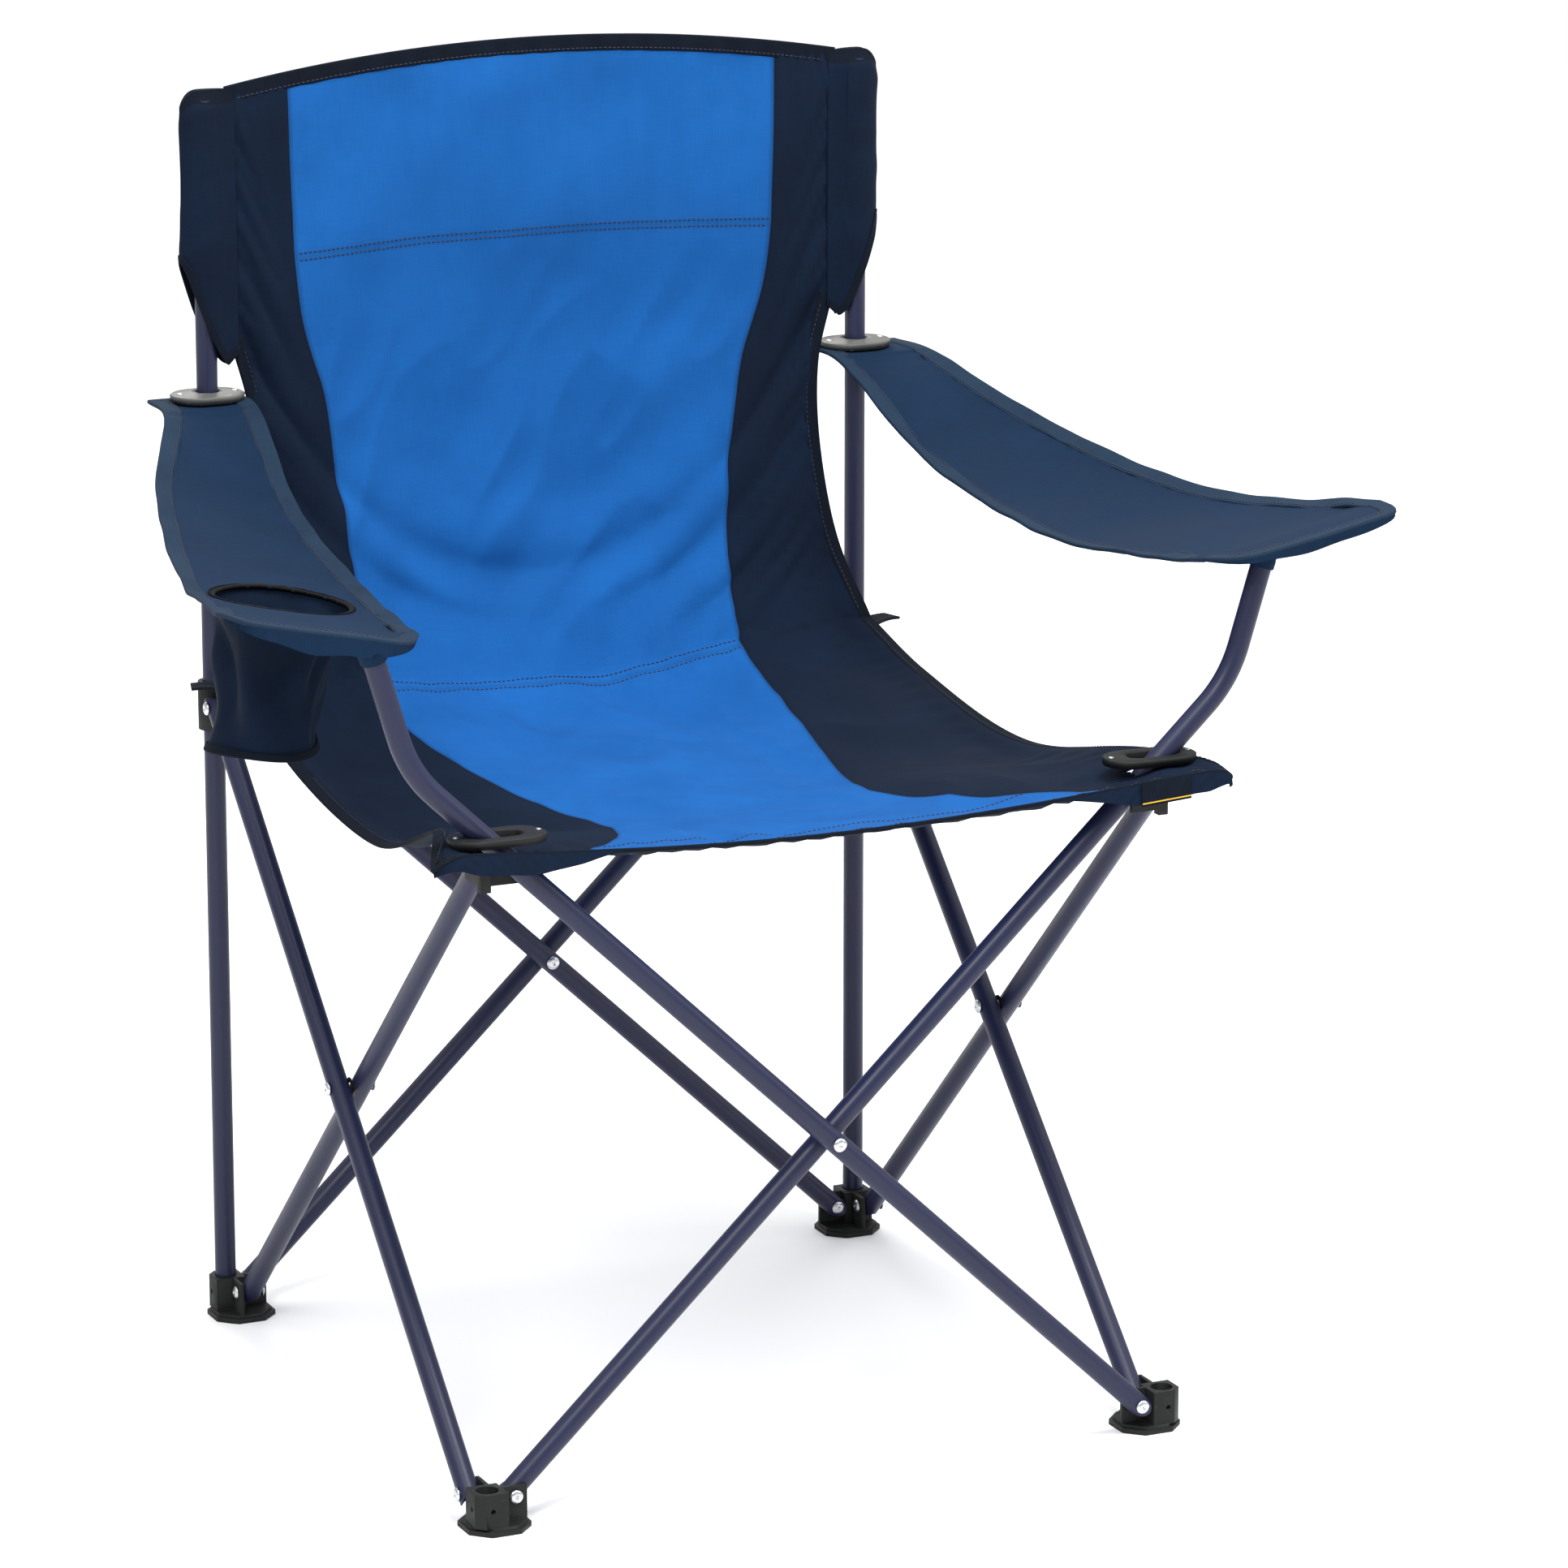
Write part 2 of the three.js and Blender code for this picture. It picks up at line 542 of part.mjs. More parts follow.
// The tab that ties a rear corner of the seat to its slider, drawn at the rear right.
const TAB_OUTLINE = [[230, 214], [246, 206], [278, 230], [275, 239.5], [240, 239.5]];
const TAB_BOTTOM = SLIDER_TOP + GAP;
const TAB_THICKNESS = 2.2;

const seatTab = () => prism(TAB_OUTLINE, TAB_BOTTOM, TAB_BOTTOM + TAB_THICKNESS);

function buildBackAndSeat() {
  const back = hung(BACK_EDGE, BACK_EDGE, BACK_MIDDLE, 1);
  const seat = hung(SEAT_LEFT_EDGE, SEAT_RIGHT_EDGE, SEAT_MIDDLE, SAG_POWER);
  add("back_panel", sheet(part(back, 0, 0.996), 10, 12), BLUE_CLOTH);
  add("seat_rear", sheet(part(seat, 2 * SEAT_GAP, SEAT_FOLD - SEAT_GAP), 10, 3), BLUE_CLOTH);
  add("seat_front", sheet(part(seat, SEAT_FOLD + SEAT_GAP, SEAT_BAND - SEAT_GAP), 10, 7), BLUE_CLOTH);
  const band = sheet(part(seat, SEAT_BAND + SEAT_GAP, 1), 12, 3);
  add("seat_front_band", band.subtract(armSlot(1)).subtract(armSlot(-1)), NAVY_CLOTH);
  add("seat_plate_right", seatPlate(1), PLASTIC);
  add("seat_plate_left", seatPlate(-1), PLASTIC);
  add("back_sleeve_left", backSleeve(), NAVY_CLOTH, { turns: 2 });
  add("back_sleeve_right", backSleeve(), NAVY_CLOTH, { turns: 2, mirror: true });
  add("seat_tab_right", seatTab(), NAVY_CLOTH);
  add("seat_tab_left", seatTab(), NAVY_CLOTH, { mirror: true });
}

// ---- armrests -----------------------------------------------------------------------------------------
// Drawn on the right. The strip hangs from the plate on the post to the pocket on the arm tube's tip.
const ARM_INNER = spline(
  [222, 277, 673],
  [225, 226, 673],
  [239, 110, 620],
  [256, -60, 594],
  [281, -270, 612],
);
const ARM_OUTER = spline(
  [296, 277, 673],
  [301, 226, 673],
  [331, 110, 643],
  [376, -60, 618],
  [432, -270, 640],
);
const ARM_FOLD = 0.555; // where the rear and front lengths of the strip meet
const ARM_GAP = 0.0008;
const ARM_PLATE_BOTTOM = 679;
const ARM_PLATE_THICKNESS = 2.5;
const ARM_PLATE_RADII = [27, 21];
const ARM_POCKET_REACH = 14; // of the pocket above and below the tube's tip
const CUP_CENTRE = [332, -108];
const CUP_RADIUS = 47;
const CUP_BOTTOM = 512;
const CUP_TOP = 640; // above the armrest, whose slope then trims the bag
const CUP_SIDES = 32;

const armSurface = (across, along) => ARM_INNER.getPoint(along).lerp(ARM_OUTER.getPoint(along), across);

// The post's way through the armrest and its plate.
function postHole(clearance) {
  const heights = [ARM_PLATE_BOTTOM - HOLE_REACH, ARM_PLATE_BOTTOM + HOLE_REACH];
  return upright(POST_AT, POST_AT, heights, TUBE_RADIUS + clearance);
}

function armPlate() {
  const disc = new THREE.CylinderGeometry(1, 1, ARM_PLATE_THICKNESS, 28).rotateX(Math.PI / 2);
  disc.scale(...ARM_PLATE_RADII, 1);
  disc.translate(POST_AT, POST_AT, ARM_PLATE_BOTTOM + ARM_PLATE_THICKNESS / 2);
  return solid(disc).subtract(postHole(GAP));
}

function armRear() {
  return sheet(part(armSurface, 0, ARM_FOLD - ARM_GAP), 5, 8).subtract(postHole(2 * GAP));
}

// The tip of the arm tube on the side given, in the frame of the right armrest.
function armTip(direction) {
  const corner = new THREE.Vector3(PIVOT_HALF, 0, PIVOT_HIGH).addScaledVector(TUBE_SLOPE, ARM_BEND);
  const lean = new THREE.Vector3(Math.sin(ARM_TIP_LEAN), 0, Math.cos(ARM_TIP_LEAN));
  corner.y = direction > 0 ? -INNER_PLANE : -OUTER_PLANE;
  return { tip: corner.addScaledVector(lean, ARM_TIP_LENGTH), lean };
}

// The front length, or the space from `below` it to `above` it.
const frontStrip = (below, above) => sheet(part(armSurface, ARM_FOLD + ARM_GAP, 1), 6, 7, below, above);

// The front length with the pocket that caps the arm tube.
function armFront(direction) {
  const { tip, lean } = armTip(direction);
  const at = (distance) => tip.clone().addScaledVector(lean, distance).toArray();
  const pocketRadius = TUBE_RADIUS + GAP + FABRIC;
  const pocket = bar(at(-ARM_POCKET_REACH), at(ARM_POCKET_REACH), pocketRadius, BORE_SIDES);
  const aboveStrip = frontStrip(-FABRIC / 4, 3 * ARM_POCKET_REACH);
  const bore = bar(at(-3 * ARM_POCKET_REACH), at(GAP), TUBE_RADIUS + GAP, BORE_SIDES);
  return frontStrip().add(pocket.subtract(aboveStrip)).subtract(bore);
}

const cupCylinder = (z0, z1, radius) => upright(...CUP_CENTRE, [z0, z1], radius, CUP_SIDES);

// The bag under the left armrest, open at the top, where the armrest's opening is.
function cupHolder() {
  const outside = cupCylinder(CUP_BOTTOM, CUP_TOP, CUP_RADIUS + FABRIC);
  const inside = cupCylinder(CUP_BOTTOM + FABRIC, CUP_TOP + 1, CUP_RADIUS);
  const aboveStrip = frontStrip(FABRIC / 2 + GAP, 2 * CUP_RADIUS);
  return outside.subtract(inside).subtract(aboveStrip);
}

function buildArmrests() {
  add("armrest_plate_right", armPlate(), SILVER_PLASTIC);
  add("armrest_plate_left", armPlate(), SILVER_PLASTIC, { mirror: true });
  add("armrest_right_rear", armRear(), NAVY_CLOTH);
  add("armrest_left_rear", armRear(), NAVY_CLOTH, { mirror: true });
  add("armrest_right_front", armFront(1), NAVY_CLOTH);
  const cupOpening = cupCylinder(CUP_BOTTOM, CUP_TOP + HOLE_REACH, CUP_RADIUS);
  add("armrest_left_front", armFront(-1).subtract(cupOpening), NAVY_CLOTH, { mirror: true });
  add("cup_holder", cupHolder(), NAVY_CLOTH, { mirror: true });
}

SIDES.forEach(buildSide);
buildCorners();
buildBackAndSeat();
buildArmrests();

export default chair;
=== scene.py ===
import json
import math

import bpy
import numpy as np
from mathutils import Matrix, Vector, noise


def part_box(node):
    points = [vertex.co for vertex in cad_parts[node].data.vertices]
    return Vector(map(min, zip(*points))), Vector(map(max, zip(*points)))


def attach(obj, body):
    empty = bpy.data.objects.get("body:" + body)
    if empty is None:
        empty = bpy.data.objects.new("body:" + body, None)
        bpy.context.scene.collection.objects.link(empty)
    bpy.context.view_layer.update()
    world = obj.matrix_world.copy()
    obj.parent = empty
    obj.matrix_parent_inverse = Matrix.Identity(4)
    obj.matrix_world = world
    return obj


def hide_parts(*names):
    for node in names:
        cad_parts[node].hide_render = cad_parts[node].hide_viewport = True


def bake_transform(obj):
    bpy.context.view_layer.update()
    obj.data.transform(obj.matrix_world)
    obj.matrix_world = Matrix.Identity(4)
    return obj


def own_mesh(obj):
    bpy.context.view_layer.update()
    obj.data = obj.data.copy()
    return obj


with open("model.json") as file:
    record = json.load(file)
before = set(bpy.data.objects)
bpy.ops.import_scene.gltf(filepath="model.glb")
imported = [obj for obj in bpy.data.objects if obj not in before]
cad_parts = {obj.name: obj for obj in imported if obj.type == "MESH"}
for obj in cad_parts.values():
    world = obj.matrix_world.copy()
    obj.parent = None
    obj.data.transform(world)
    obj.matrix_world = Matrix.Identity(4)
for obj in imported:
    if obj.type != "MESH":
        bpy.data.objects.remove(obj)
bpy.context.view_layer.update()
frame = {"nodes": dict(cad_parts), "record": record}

MM = 0.001

# ---- driving values, as in the CAD source ----
TUBE_RADIUS = 7.5 * MM
TUBE_WALL = 1.0 * MM
TUBE_END_RADIUS = 7.8 * MM
PIVOT_HALF = 231 * MM
PIVOT_LOW = 21 * MM
PIVOT_HIGH = 458 * MM
OUTER_PLANE = 257 * MM
INNER_PLANE = 240.5 * MM
POST_AT = 252 * MM
POST_BOTTOM = 8 * MM
POST_TOP = 889 * MM
ARM_BEND = 98 * MM
ARM_TIP_LENGTH = 88 * MM
ARM_TIP_LEAN = math.radians(17)
ARM_BEND_SETBACK = 24 * MM
SLEEVE_BOTTOM = 701 * MM
SLEEVE_TOP = 896 * MM
SEAT_FOLD = 0.27
SEAT_BAND = 0.845
ARM_FOLD = 0.555
CUP_CENTRE = (332 * MM, -108 * MM)
CUP_RADIUS = 47 * MM
CUP_RIM_RADIUS = 45 * MM
CUP_BOTTOM = 512 * MM
SLOT_REACH = (225.5 * MM, 264.5 * MM)
SLOT_WIDTH = 16.6 * MM

BACK_EDGE = [
    (235, 252, 896),
    (235, 252, 810),
    (234, 252, 726),
    (221, 251, 668),
    (221, 249, 610),
    (232, 240, 535),
    (246, 212, 480),
]
BACK_MIDDLE = [
    (0, 256, 917),
    (0, 262, 815),
    (0, 274, 740),
    (0, 281, 680),
    (0, 277, 610),
    (0, 252, 525),
    (0, 213, 453),
]
SEAT_RIGHT_EDGE = [(246, 212, 480), (242, 110, 461), (243, -60, 446), (262, -200, 471), (302, -281, 474)]
SEAT_LEFT_EDGE = [(246, 212, 480), (247, 110, 442), (250, -60, 426), (264, -200, 468), (302, -281, 474)]
SEAT_MIDDLE = [(0, 213, 453), (0, 110, 441), (0, -80, 438), (0, -180, 445), (0, -262, 454)]
ARM_INNER = [(222, 277, 673), (225, 226, 673), (239, 110, 620), (256, -60, 594), (281, -270, 612)]
ARM_OUTER = [(296, 277, 673), (301, 226, 673), (331, 110, 643), (376, -60, 618), (432, -270, 640)]
ARM_LEFT_INNER = [(222, 277, 673), (225, 226, 673), (240, 110, 626), (258, -60, 605), (290, -264, 608)]
ARM_LEFT_OUTER = [(287, 277, 673), (293, 226, 673), (340, 113, 645), (385, -60, 622), (427, -264, 639)]

# Half width of the blue panel as a share of the half width there, against the way down each part.
BLUE_BACK = [(0, 0.80), (0.24, 0.783), (0.43, 0.75), (0.57, 0.72), (0.73, 0.67), (0.85, 0.62), (1, 0.58)]
BLUE_SEAT = [
    (0, 0.58), (0.2, 0.565), (0.3, 0.53), (0.5, 0.40), (0.57, 0.385), (0.66, 0.43),
    (0.8, 0.51), (0.9, 0.61), (1, 0.72),
]

CLOTH = 0.6 * MM  # half the thickness of the cloth


# ---- geometry helpers ----
def unit(v):
    v = np.asarray(v, float)
    return v / np.maximum(np.linalg.norm(v, axis=-1, keepdims=True), 1e-12)


def ease(t):
    t = np.clip(t, 0, 1)
    return t * t * (3 - 2 * t)


def spline(points, ts):
    """Centripetal Catmull-Rom curve through points given in millimetres, at each t from 0 to 1."""
    knots = np.array(points, float) * MM
    knots = np.vstack([2 * knots[0] - knots[1], knots, 2 * knots[-1] - knots[-2]])
    made = []
    for t in np.atleast_1d(ts):
        place = t * (len(knots) - 3)
        i = min(int(place), len(knots) - 4)
        w = place - i
        p0, p1, p2, p3 = knots[i : i + 4]
        d0, d1, d2 = (np.linalg.norm(q - p) ** 0.5 for p, q in ((p0, p1), (p1, p2), (p2, p3)))
        m1 = ((p1 - p0) / d0 - (p2 - p0) / (d0 + d1) + (p2 - p1) / d1) * d1
        m2 = ((p2 - p1) / d1 - (p3 - p1) / (d1 + d2) + (p3 - p2) / d2) * d1
        square = -3 * p1 + 3 * p2 - 2 * m1 - m2
        cube = 2 * p1 - 2 * p2 + m1 + m2
        made.append(p1 + m1 * w + square * w**2 + cube * w**3)
    return np.array(made)


def share(table, ts):
    xs, ys = zip(*table)
    return np.interp(ts, xs, ys)


def grid_normals(grid):
    """Smooth normals of a grid whose rows run down and columns to the right, towards the viewer."""
    down = np.gradient(grid, axis=0)
    across = np.gradient(grid, axis=1)
    return unit(np.cross(down, across))


def refine(grid):
    """A grid with a point added between each two neighbours, on a smooth curve through them."""
    for axis in (0, 1):
        g = np.moveaxis(grid, axis, 0)
        padded = np.concatenate([2 * g[:1] - g[1:2], g, 2 * g[-1:] - g[-2:-1]])
        middle = (9 * (padded[1:-2] + padded[2:-1]) - padded[:-3] - padded[3:]) / 16
        wide = np.empty((2 * len(g) - 1, *g.shape[1:]))
        wide[0::2] = g
        wide[1::2] = middle
        grid = np.moveaxis(wide, 0, axis)
    return grid


def distances(path):
    """How far along a path each of its points is."""
    return np.concatenate([[0], np.cumsum(np.linalg.norm(np.diff(path, axis=0), axis=1))])


def ring_turns(sides):
    """The turn of each point of a ring, in radians."""
    return np.linspace(0, 2 * math.pi, sides, endpoint=False)


def closed(points, axis=0):
    """Points round a ring, with the first repeated at the end."""
    return np.concatenate([points, np.take(points, [0], axis)], axis)


def ripple(points, size, seed):
    """Smooth noise from -1 to 1 at each point; size is how far apart its bumps are."""
    shift = Vector((seed * 7.1, seed * 3.3, seed * 5.7))
    flat = points.reshape(-1, 3) / size
    return np.array([noise.noise(Vector(p) + shift) for p in flat]).reshape(points.shape[:-1])


def new_object(name, data):
    made = bpy.data.objects.new(name, data)
    bpy.context.scene.collection.objects.link(made)
    return made


class Piece:
    """Collects faces with their own normals, then makes one Blender mesh object of them."""

    def __init__(self, name, materials):
        self.name = name
        self.materials = materials
        self.points, self.faces, self.slots, self.normals, self.cloth, self.seam = [], [], [], [], [], []
        self.count = 0

    def add(self, points, faces, slots, corner_normals, cloth=None, seam=None):
        points = np.asarray(points, float).reshape(-1, 3)
        faces = np.asarray(faces, int)
        self.points.append(points)
        self.faces.append(faces + self.count)
        self.slots.append(np.broadcast_to(slots, len(faces)))
        self.normals.append(np.asarray(corner_normals, float).reshape(-1, 3))
        self.cloth.append(points if cloth is None else np.asarray(cloth, float).reshape(-1, 3))
        self.seam.append(np.zeros(len(points)) if seam is None else np.asarray(seam, float).reshape(-1))
        self.count += len(points)

    def add_tube(self, rings, normals, slots, cloth=None, caps=True):
        """Closed rings [n, sides, 3] joined in order."""
        rings = np.asarray(rings, float)
        n, sides = rings.shape[:2]
        faces, corners = [], []
        for i in range(n - 1):
            for j in range(sides):
                k = (j + 1) % sides
                faces.append([i * sides + j, i * sides + k, (i + 1) * sides + k, (i + 1) * sides + j])
                corners.append([normals[i][j], normals[i][k], normals[i + 1][k], normals[i + 1][j]])
        self.add(rings, faces, slots, corners, cloth)
        if caps:
            for ring, flip in ((rings[0], True), (rings[-1], False)):
                self.add_fan(ring, flip, slots)

    def add_fan(self, ring, flip, slots):
        centre = ring.mean(0)
        sides = len(ring)
        out = unit(np.cross(ring[1] - ring[0], ring[sides // 3] - ring[0]))
        out = -out if flip else out
        triangles = np.array([[sides, j, (j + 1) % sides] for j in range(sides)])
        triangles = triangles[:, ::-1] if flip else triangles
        self.add(np.vstack([ring, centre]), triangles, slots, np.tile(out, (sides * 3, 1)))

    def build(self):
        mesh = bpy.data.meshes.new(self.name)
        faces = [list(map(int, f)) for block in self.faces for f in block]
        mesh.from_pydata(np.concatenate(self.points).tolist(), [], faces)
        mesh.polygons.foreach_set("material_index", np.concatenate(self.slots).astype(np.int32))
        mesh.polygons.foreach_set("use_smooth", np.ones(len(faces), bool))
        cloth = mesh.attributes.new("cloth", "FLOAT_VECTOR", "POINT")
        cloth.data.foreach_set("vector", np.concatenate(self.cloth).astype(np.float32).ravel())
        # seam holds the painted shade along seams, from 0 to 1, that the cloth's material darkens by.
        seam = mesh.attributes.new("seam", "FLOAT", "POINT")
        seam.data.foreach_set("value", np.concatenate(self.seam).astype(np.float32))
        for material in self.materials:
            mesh.materials.append(material)
        mesh.update()
        mesh.normals_split_custom_set(unit(np.concatenate(self.normals)).tolist())
        return new_object(self.name, mesh)


# ---- materials ----
def linear(red, green, blue):
    """An 8-bit screen colour as linear RGBA."""
    values = [c / 255 for c in (red, green, blue)]
    return (*[v / 12.92 if v <= 0.04045 else ((v + 0.055) / 1.055) ** 2.4 for v in values], 1)


class Shader:
    """A node tree around one Principled shader, with short ways to make and join nodes."""

    def __init__(self, name):
        self.material = bpy.data.materials.new(name)
        self.material.use_nodes = True
        self.tree = self.material.node_tree
        self.shader = self.tree.nodes["Principled BSDF"]

    def node(self, kind, settings=None, **inputs):
        made = self.tree.nodes.new(kind)
        for key, value in (settings or {}).items():
            setattr(made, key, value)
        for key, value in inputs.items():
            self.feed(made.inputs[key.replace("_", " ")], value)
        return made

    def feed(self, socket, value):
        if isinstance(value, bpy.types.NodeSocket):
            self.tree.links.new(value, socket)
        else:
            socket.default_value = value

    def set(self, **inputs):
        for key, value in inputs.items():
            self.feed(self.shader.inputs[key.replace("_", " ")], value)

    def math(self, operation, a, b=0.0):
        made = self.node("ShaderNodeMath", {"operation": operation})
        self.feed(made.inputs[0], a)
        self.feed(made.inputs[1], b)
        return made.outputs[0]

    def ramp(self, value, low, high, to_low, to_high):
        made = self.node("ShaderNodeMapRange", {"interpolation_type": "SMOOTHSTEP"})
        for socket, item in zip(made.inputs, (value, low, high, to_low, to_high)):
            self.feed(socket, item)
        return made.outputs[0]

    def noise(self, vector, scale, detail=3.0, roughness=0.55):
        made = self.node("ShaderNodeTexNoise", Scale=scale, Detail=detail, Roughness=roughness)
        self.feed(made.inputs["Vector"], vector)
        return made.outputs["Fac"]

    def mix(self, factor, a, b):
        made = self.node("ShaderNodeMix", {"data_type": "RGBA"})
        self.feed(made.inputs["Factor"], factor)
        self.feed(made.inputs[6], a)
        self.feed(made.inputs[7], b)
        return made.outputs[2]

    def bump(self, height, strength, distance, normal=None):
        made = self.node("ShaderNodeBump", Strength=strength, Distance=distance)
        self.feed(made.inputs["Height"], height)
        if normal is not None:
            self.feed(made.inputs["Normal"], normal)
        return made.outputs["Normal"]

    def attribute(self, name, output):
        return self.node("ShaderNodeAttribute", {"attribute_name": name}).outputs[output]

    def stretched(self, vector, scale):
        made = self.node("ShaderNodeMapping")
        self.feed(made.inputs["Vector"], vector)
        made.inputs["Scale"].default_value = scale
        return made.outputs["Vector"]


THREAD_PITCH = 0.9 * MM  # from one thread of the weave to the next
WAVE_PERIOD = 0.314  # of Blender's wave texture at scale 1


def woven(name, dark, light, roughness=0.86, pitch=THREAD_PITCH, sheen=0.015):
    """Plain woven polyester: crossing threads, slubs, soft fading in patches and painted shade along the
    seams.
    """
    s = Shader(name)
    cloth = s.attribute("cloth", "Vector")
    bands = [
        s.node(
            "ShaderNodeTexWave",
            {"bands_direction": way},
            Vector=cloth,
            Scale=WAVE_PERIOD / pitch,
            Distortion=0.6,
            Detail=1.0,
            Detail_Scale=2.0,
        ).outputs["Fac"]
        for way in ("X", "Y")
    ]
    weave = s.math("MAXIMUM", *bands)
    warp = s.noise(s.stretched(cloth, (1400, 60, 60)), 1.0, 2.0)
    weft = s.noise(s.stretched(cloth, (60, 1400, 60)), 1.0, 2.0)
    slubs = s.math("MULTIPLY", s.math("ADD", warp, weft), 0.5)
    patches = s.noise(cloth, 14.0, 4.0, 0.6)
    tone = s.math("ADD", s.math("MULTIPLY", patches, 0.55), s.math("MULTIPLY", slubs, 0.45))
    body = s.mix(s.ramp(tone, 0.3, 0.7, 0.0, 1.0), linear(*dark), linear(*light))
    gaps = s.ramp(weave, 0.25, 0.8, 0.80, 1.0)
    threads = s.node("ShaderNodeMix", {"data_type": "RGBA", "blend_type": "MULTIPLY"})
    s.feed(threads.inputs["Factor"], 0.6)
    s.feed(threads.inputs[6], body)
    s.feed(threads.inputs[7], gaps)
    # seam, from 0 to 1, is painted shade along the seams: it darkens the cloth towards near black.
    seam = s.attribute("seam", "Fac")
    shaded = s.mix(s.math("MULTIPLY", seam, 0.45), threads.outputs[2], (0.004, 0.006, 0.012, 1))
    fine = s.bump(weave, 0.35, 0.12 * MM)
    normal = s.bump(s.noise(cloth, 170.0, 2.0), 0.25, 0.5 * MM, fine)
    s.set(
        Base_Color=shaded,
        Roughness=s.ramp(patches, 0.3, 0.7, roughness - 0.06, roughness + 0.06),
        Normal=normal,
        Specular_IOR_Level=0.07,
        Sheen_Weight=sheen,
        Sheen_Roughness=0.45,
    )
    return s.material


def thread(name, colour):
    s = Shader(name)
    cloth = s.attribute("cloth", "Vector")
    twist = s.noise(cloth, 2500.0, 1.0)
    s.set(
        Base_Color=s.mix(twist, linear(*colour), linear(*[c * 1.5 for c in colour])),
        Roughness=0.7,
        Normal=s.bump(twist, 0.4, 0.1 * MM),
    )
    return s.material


def powder_coat():
    """Satin paint on the tubes: slight orange peel, dust and duller patches."""
    s = Shader("tube_powder_coat")
    place = s.node("ShaderNodeTexCoord").outputs["Object"]
    patches = s.noise(place, 9.0, 5.0, 0.6)
    specks = s.ramp(s.noise(place, 700.0, 2.0), 0.66, 0.74, 0.0, 0.5)
    body = s.mix(patches, linear(24, 27, 52), linear(31, 35, 63))
    peel = s.bump(s.noise(place, 900.0, 2.0), 0.12, 0.15 * MM)
    s.set(
        Base_Color=s.mix(specks, body, linear(54, 58, 88)),
        Roughness=s.ramp(patches, 0.3, 0.7, 0.34, 0.46),
        Normal=peel,
        Specular_IOR_Level=0.3,
    )
    return s.material


def moulded(name, dark, light, roughness):
    """Injection moulded plastic with a fine spark-eroded grain and scuffs."""
    s = Shader(name)
    place = s.node("ShaderNodeTexCoord").outputs["Object"]
    patches = s.noise(place, 60.0, 5.0, 0.65)
    grain = s.noise(place, 2200.0, 2.0)
    scuffs = s.ramp(s.noise(s.stretched(place, (80, 420, 300)), 1.0, 4.0), 0.62, 0.7, 0.0, 0.45)
    body = s.mix(patches, linear(*dark), linear(*light))
    s.set(
        Base_Color=s.mix(scuffs, body, linear(*[min(255, c * 1.6 + 12) for c in light])),
        Roughness=s.ramp(s.math("ADD", patches, scuffs), 0.3, 0.9, roughness, roughness + 0.2),
        Normal=s.bump(grain, 0.3, 0.12 * MM),
        Specular_IOR_Level=0.3,
    )
    return s.material


def zinc():
    s = Shader("zinc_rivet")
    place = s.node("ShaderNodeTexCoord").outputs["Object"]
    spangle = s.noise(place, 500.0, 3.0, 0.7)
    s.set(
        Base_Color=s.mix(spangle, linear(168, 171, 176), linear(226, 228, 230)),
        Metallic=1.0,
        Roughness=s.ramp(spangle, 0.3, 0.7, 0.22, 0.42),
        Normal=s.bump(spangle, 0.15, 0.1 * MM),
    )
    return s.material


BLUE = woven("blue_cloth", (18, 76, 138), (24, 86, 153))
NAVY = woven("navy_cloth", (10, 20, 35), (14, 27, 46))
ARM_NAVY = woven("armrest_cloth", (12, 30, 51), (17, 38, 62))
BINDING = woven("binding_tape", (10, 15, 24), (15, 22, 33), pitch=1.4 * MM)
SLATE = woven("slate_tape", (22, 37, 54), (31, 48, 66), pitch=1.4 * MM)
LINING = woven("brown_tape", (14, 14, 14), (26, 24, 20), pitch=1.4 * MM)
YELLOW_THREAD = thread("yellow_thread", (150, 120, 10))
DARK_THREAD = thread("dark_thread", (9, 14, 34))
PAINT = powder_coat()
BLACK_PLASTIC = moulded("black_plastic", (12, 13, 13), (21, 23, 23), 0.58)
SILVER_PLASTIC = moulded("silver_plastic", (70, 71, 68), (94, 95, 92), 0.4)
ZINC = zinc()


# ---- sweeps and lathes ----
def swept(path, normals, profile, piece, slot, caps=True, wobble=0.0, seed=0):
    """Sweeps a closed profile [(inward, up), ...]; inward is the path's left, seen against its normals."""
    path = np.asarray(path, float)
    along = unit(np.gradient(path, axis=0))
    up = unit(normals - along * np.sum(normals * along, axis=1, keepdims=True))
    inward = np.cross(up, along)
    profile = np.asarray(profile, float)
    distance = distances(path)
    grow = np.ones(len(path))
    if wobble:
        grow = 1 + wobble * ripple(path, 18 * MM, seed)
    sideways = inward[:, None] * profile[None, :, :1] * grow[:, None, None]
    rings = path[:, None] + sideways + up[:, None] * profile[None, :, 1:]
    turn = np.roll(profile, -1, axis=0) - np.roll(profile, 1, axis=0)
    outward = unit(np.stack([turn[:, 1], -turn[:, 0]], axis=1))
    centre_side = np.sum(outward * (profile - profile.mean(0)), axis=1).sum()
    outward = outward if centre_side > 0 else -outward
    flat = inward[:, None] * outward[None, :, :1] + up[:, None] * outward[None, :, 1:]
    around = distances(profile)
    cloth = np.zeros((*rings.shape[:2], 3))
    cloth[..., 0] = around[None]
    cloth[..., 1] = distance[:, None]
    area = np.sum(profile[:, 0] * np.roll(profile[:, 1], -1) - np.roll(profile[:, 0], -1) * profile[:, 1])
    if area < 0:
        rings, flat, cloth = rings[:, ::-1], flat[:, ::-1], cloth[:, ::-1]
    piece.add_tube(rings, flat, slot, cloth, caps)


def tape_profile(width, height, lip=1.2 * MM):
    """A folded tape round an edge: width inside the edge, height above and below the cloth's middle."""
    turns = np.linspace(math.pi / 2, 3 * math.pi / 2, 7)
    nose = [(math.cos(a) * lip, math.sin(a) * height) for a in turns]
    above = [(width, height * 0.55), (width * 0.92, height)]
    below = [(width * 0.92, -height), (width, -height * 0.55)]
    return above + nose + below


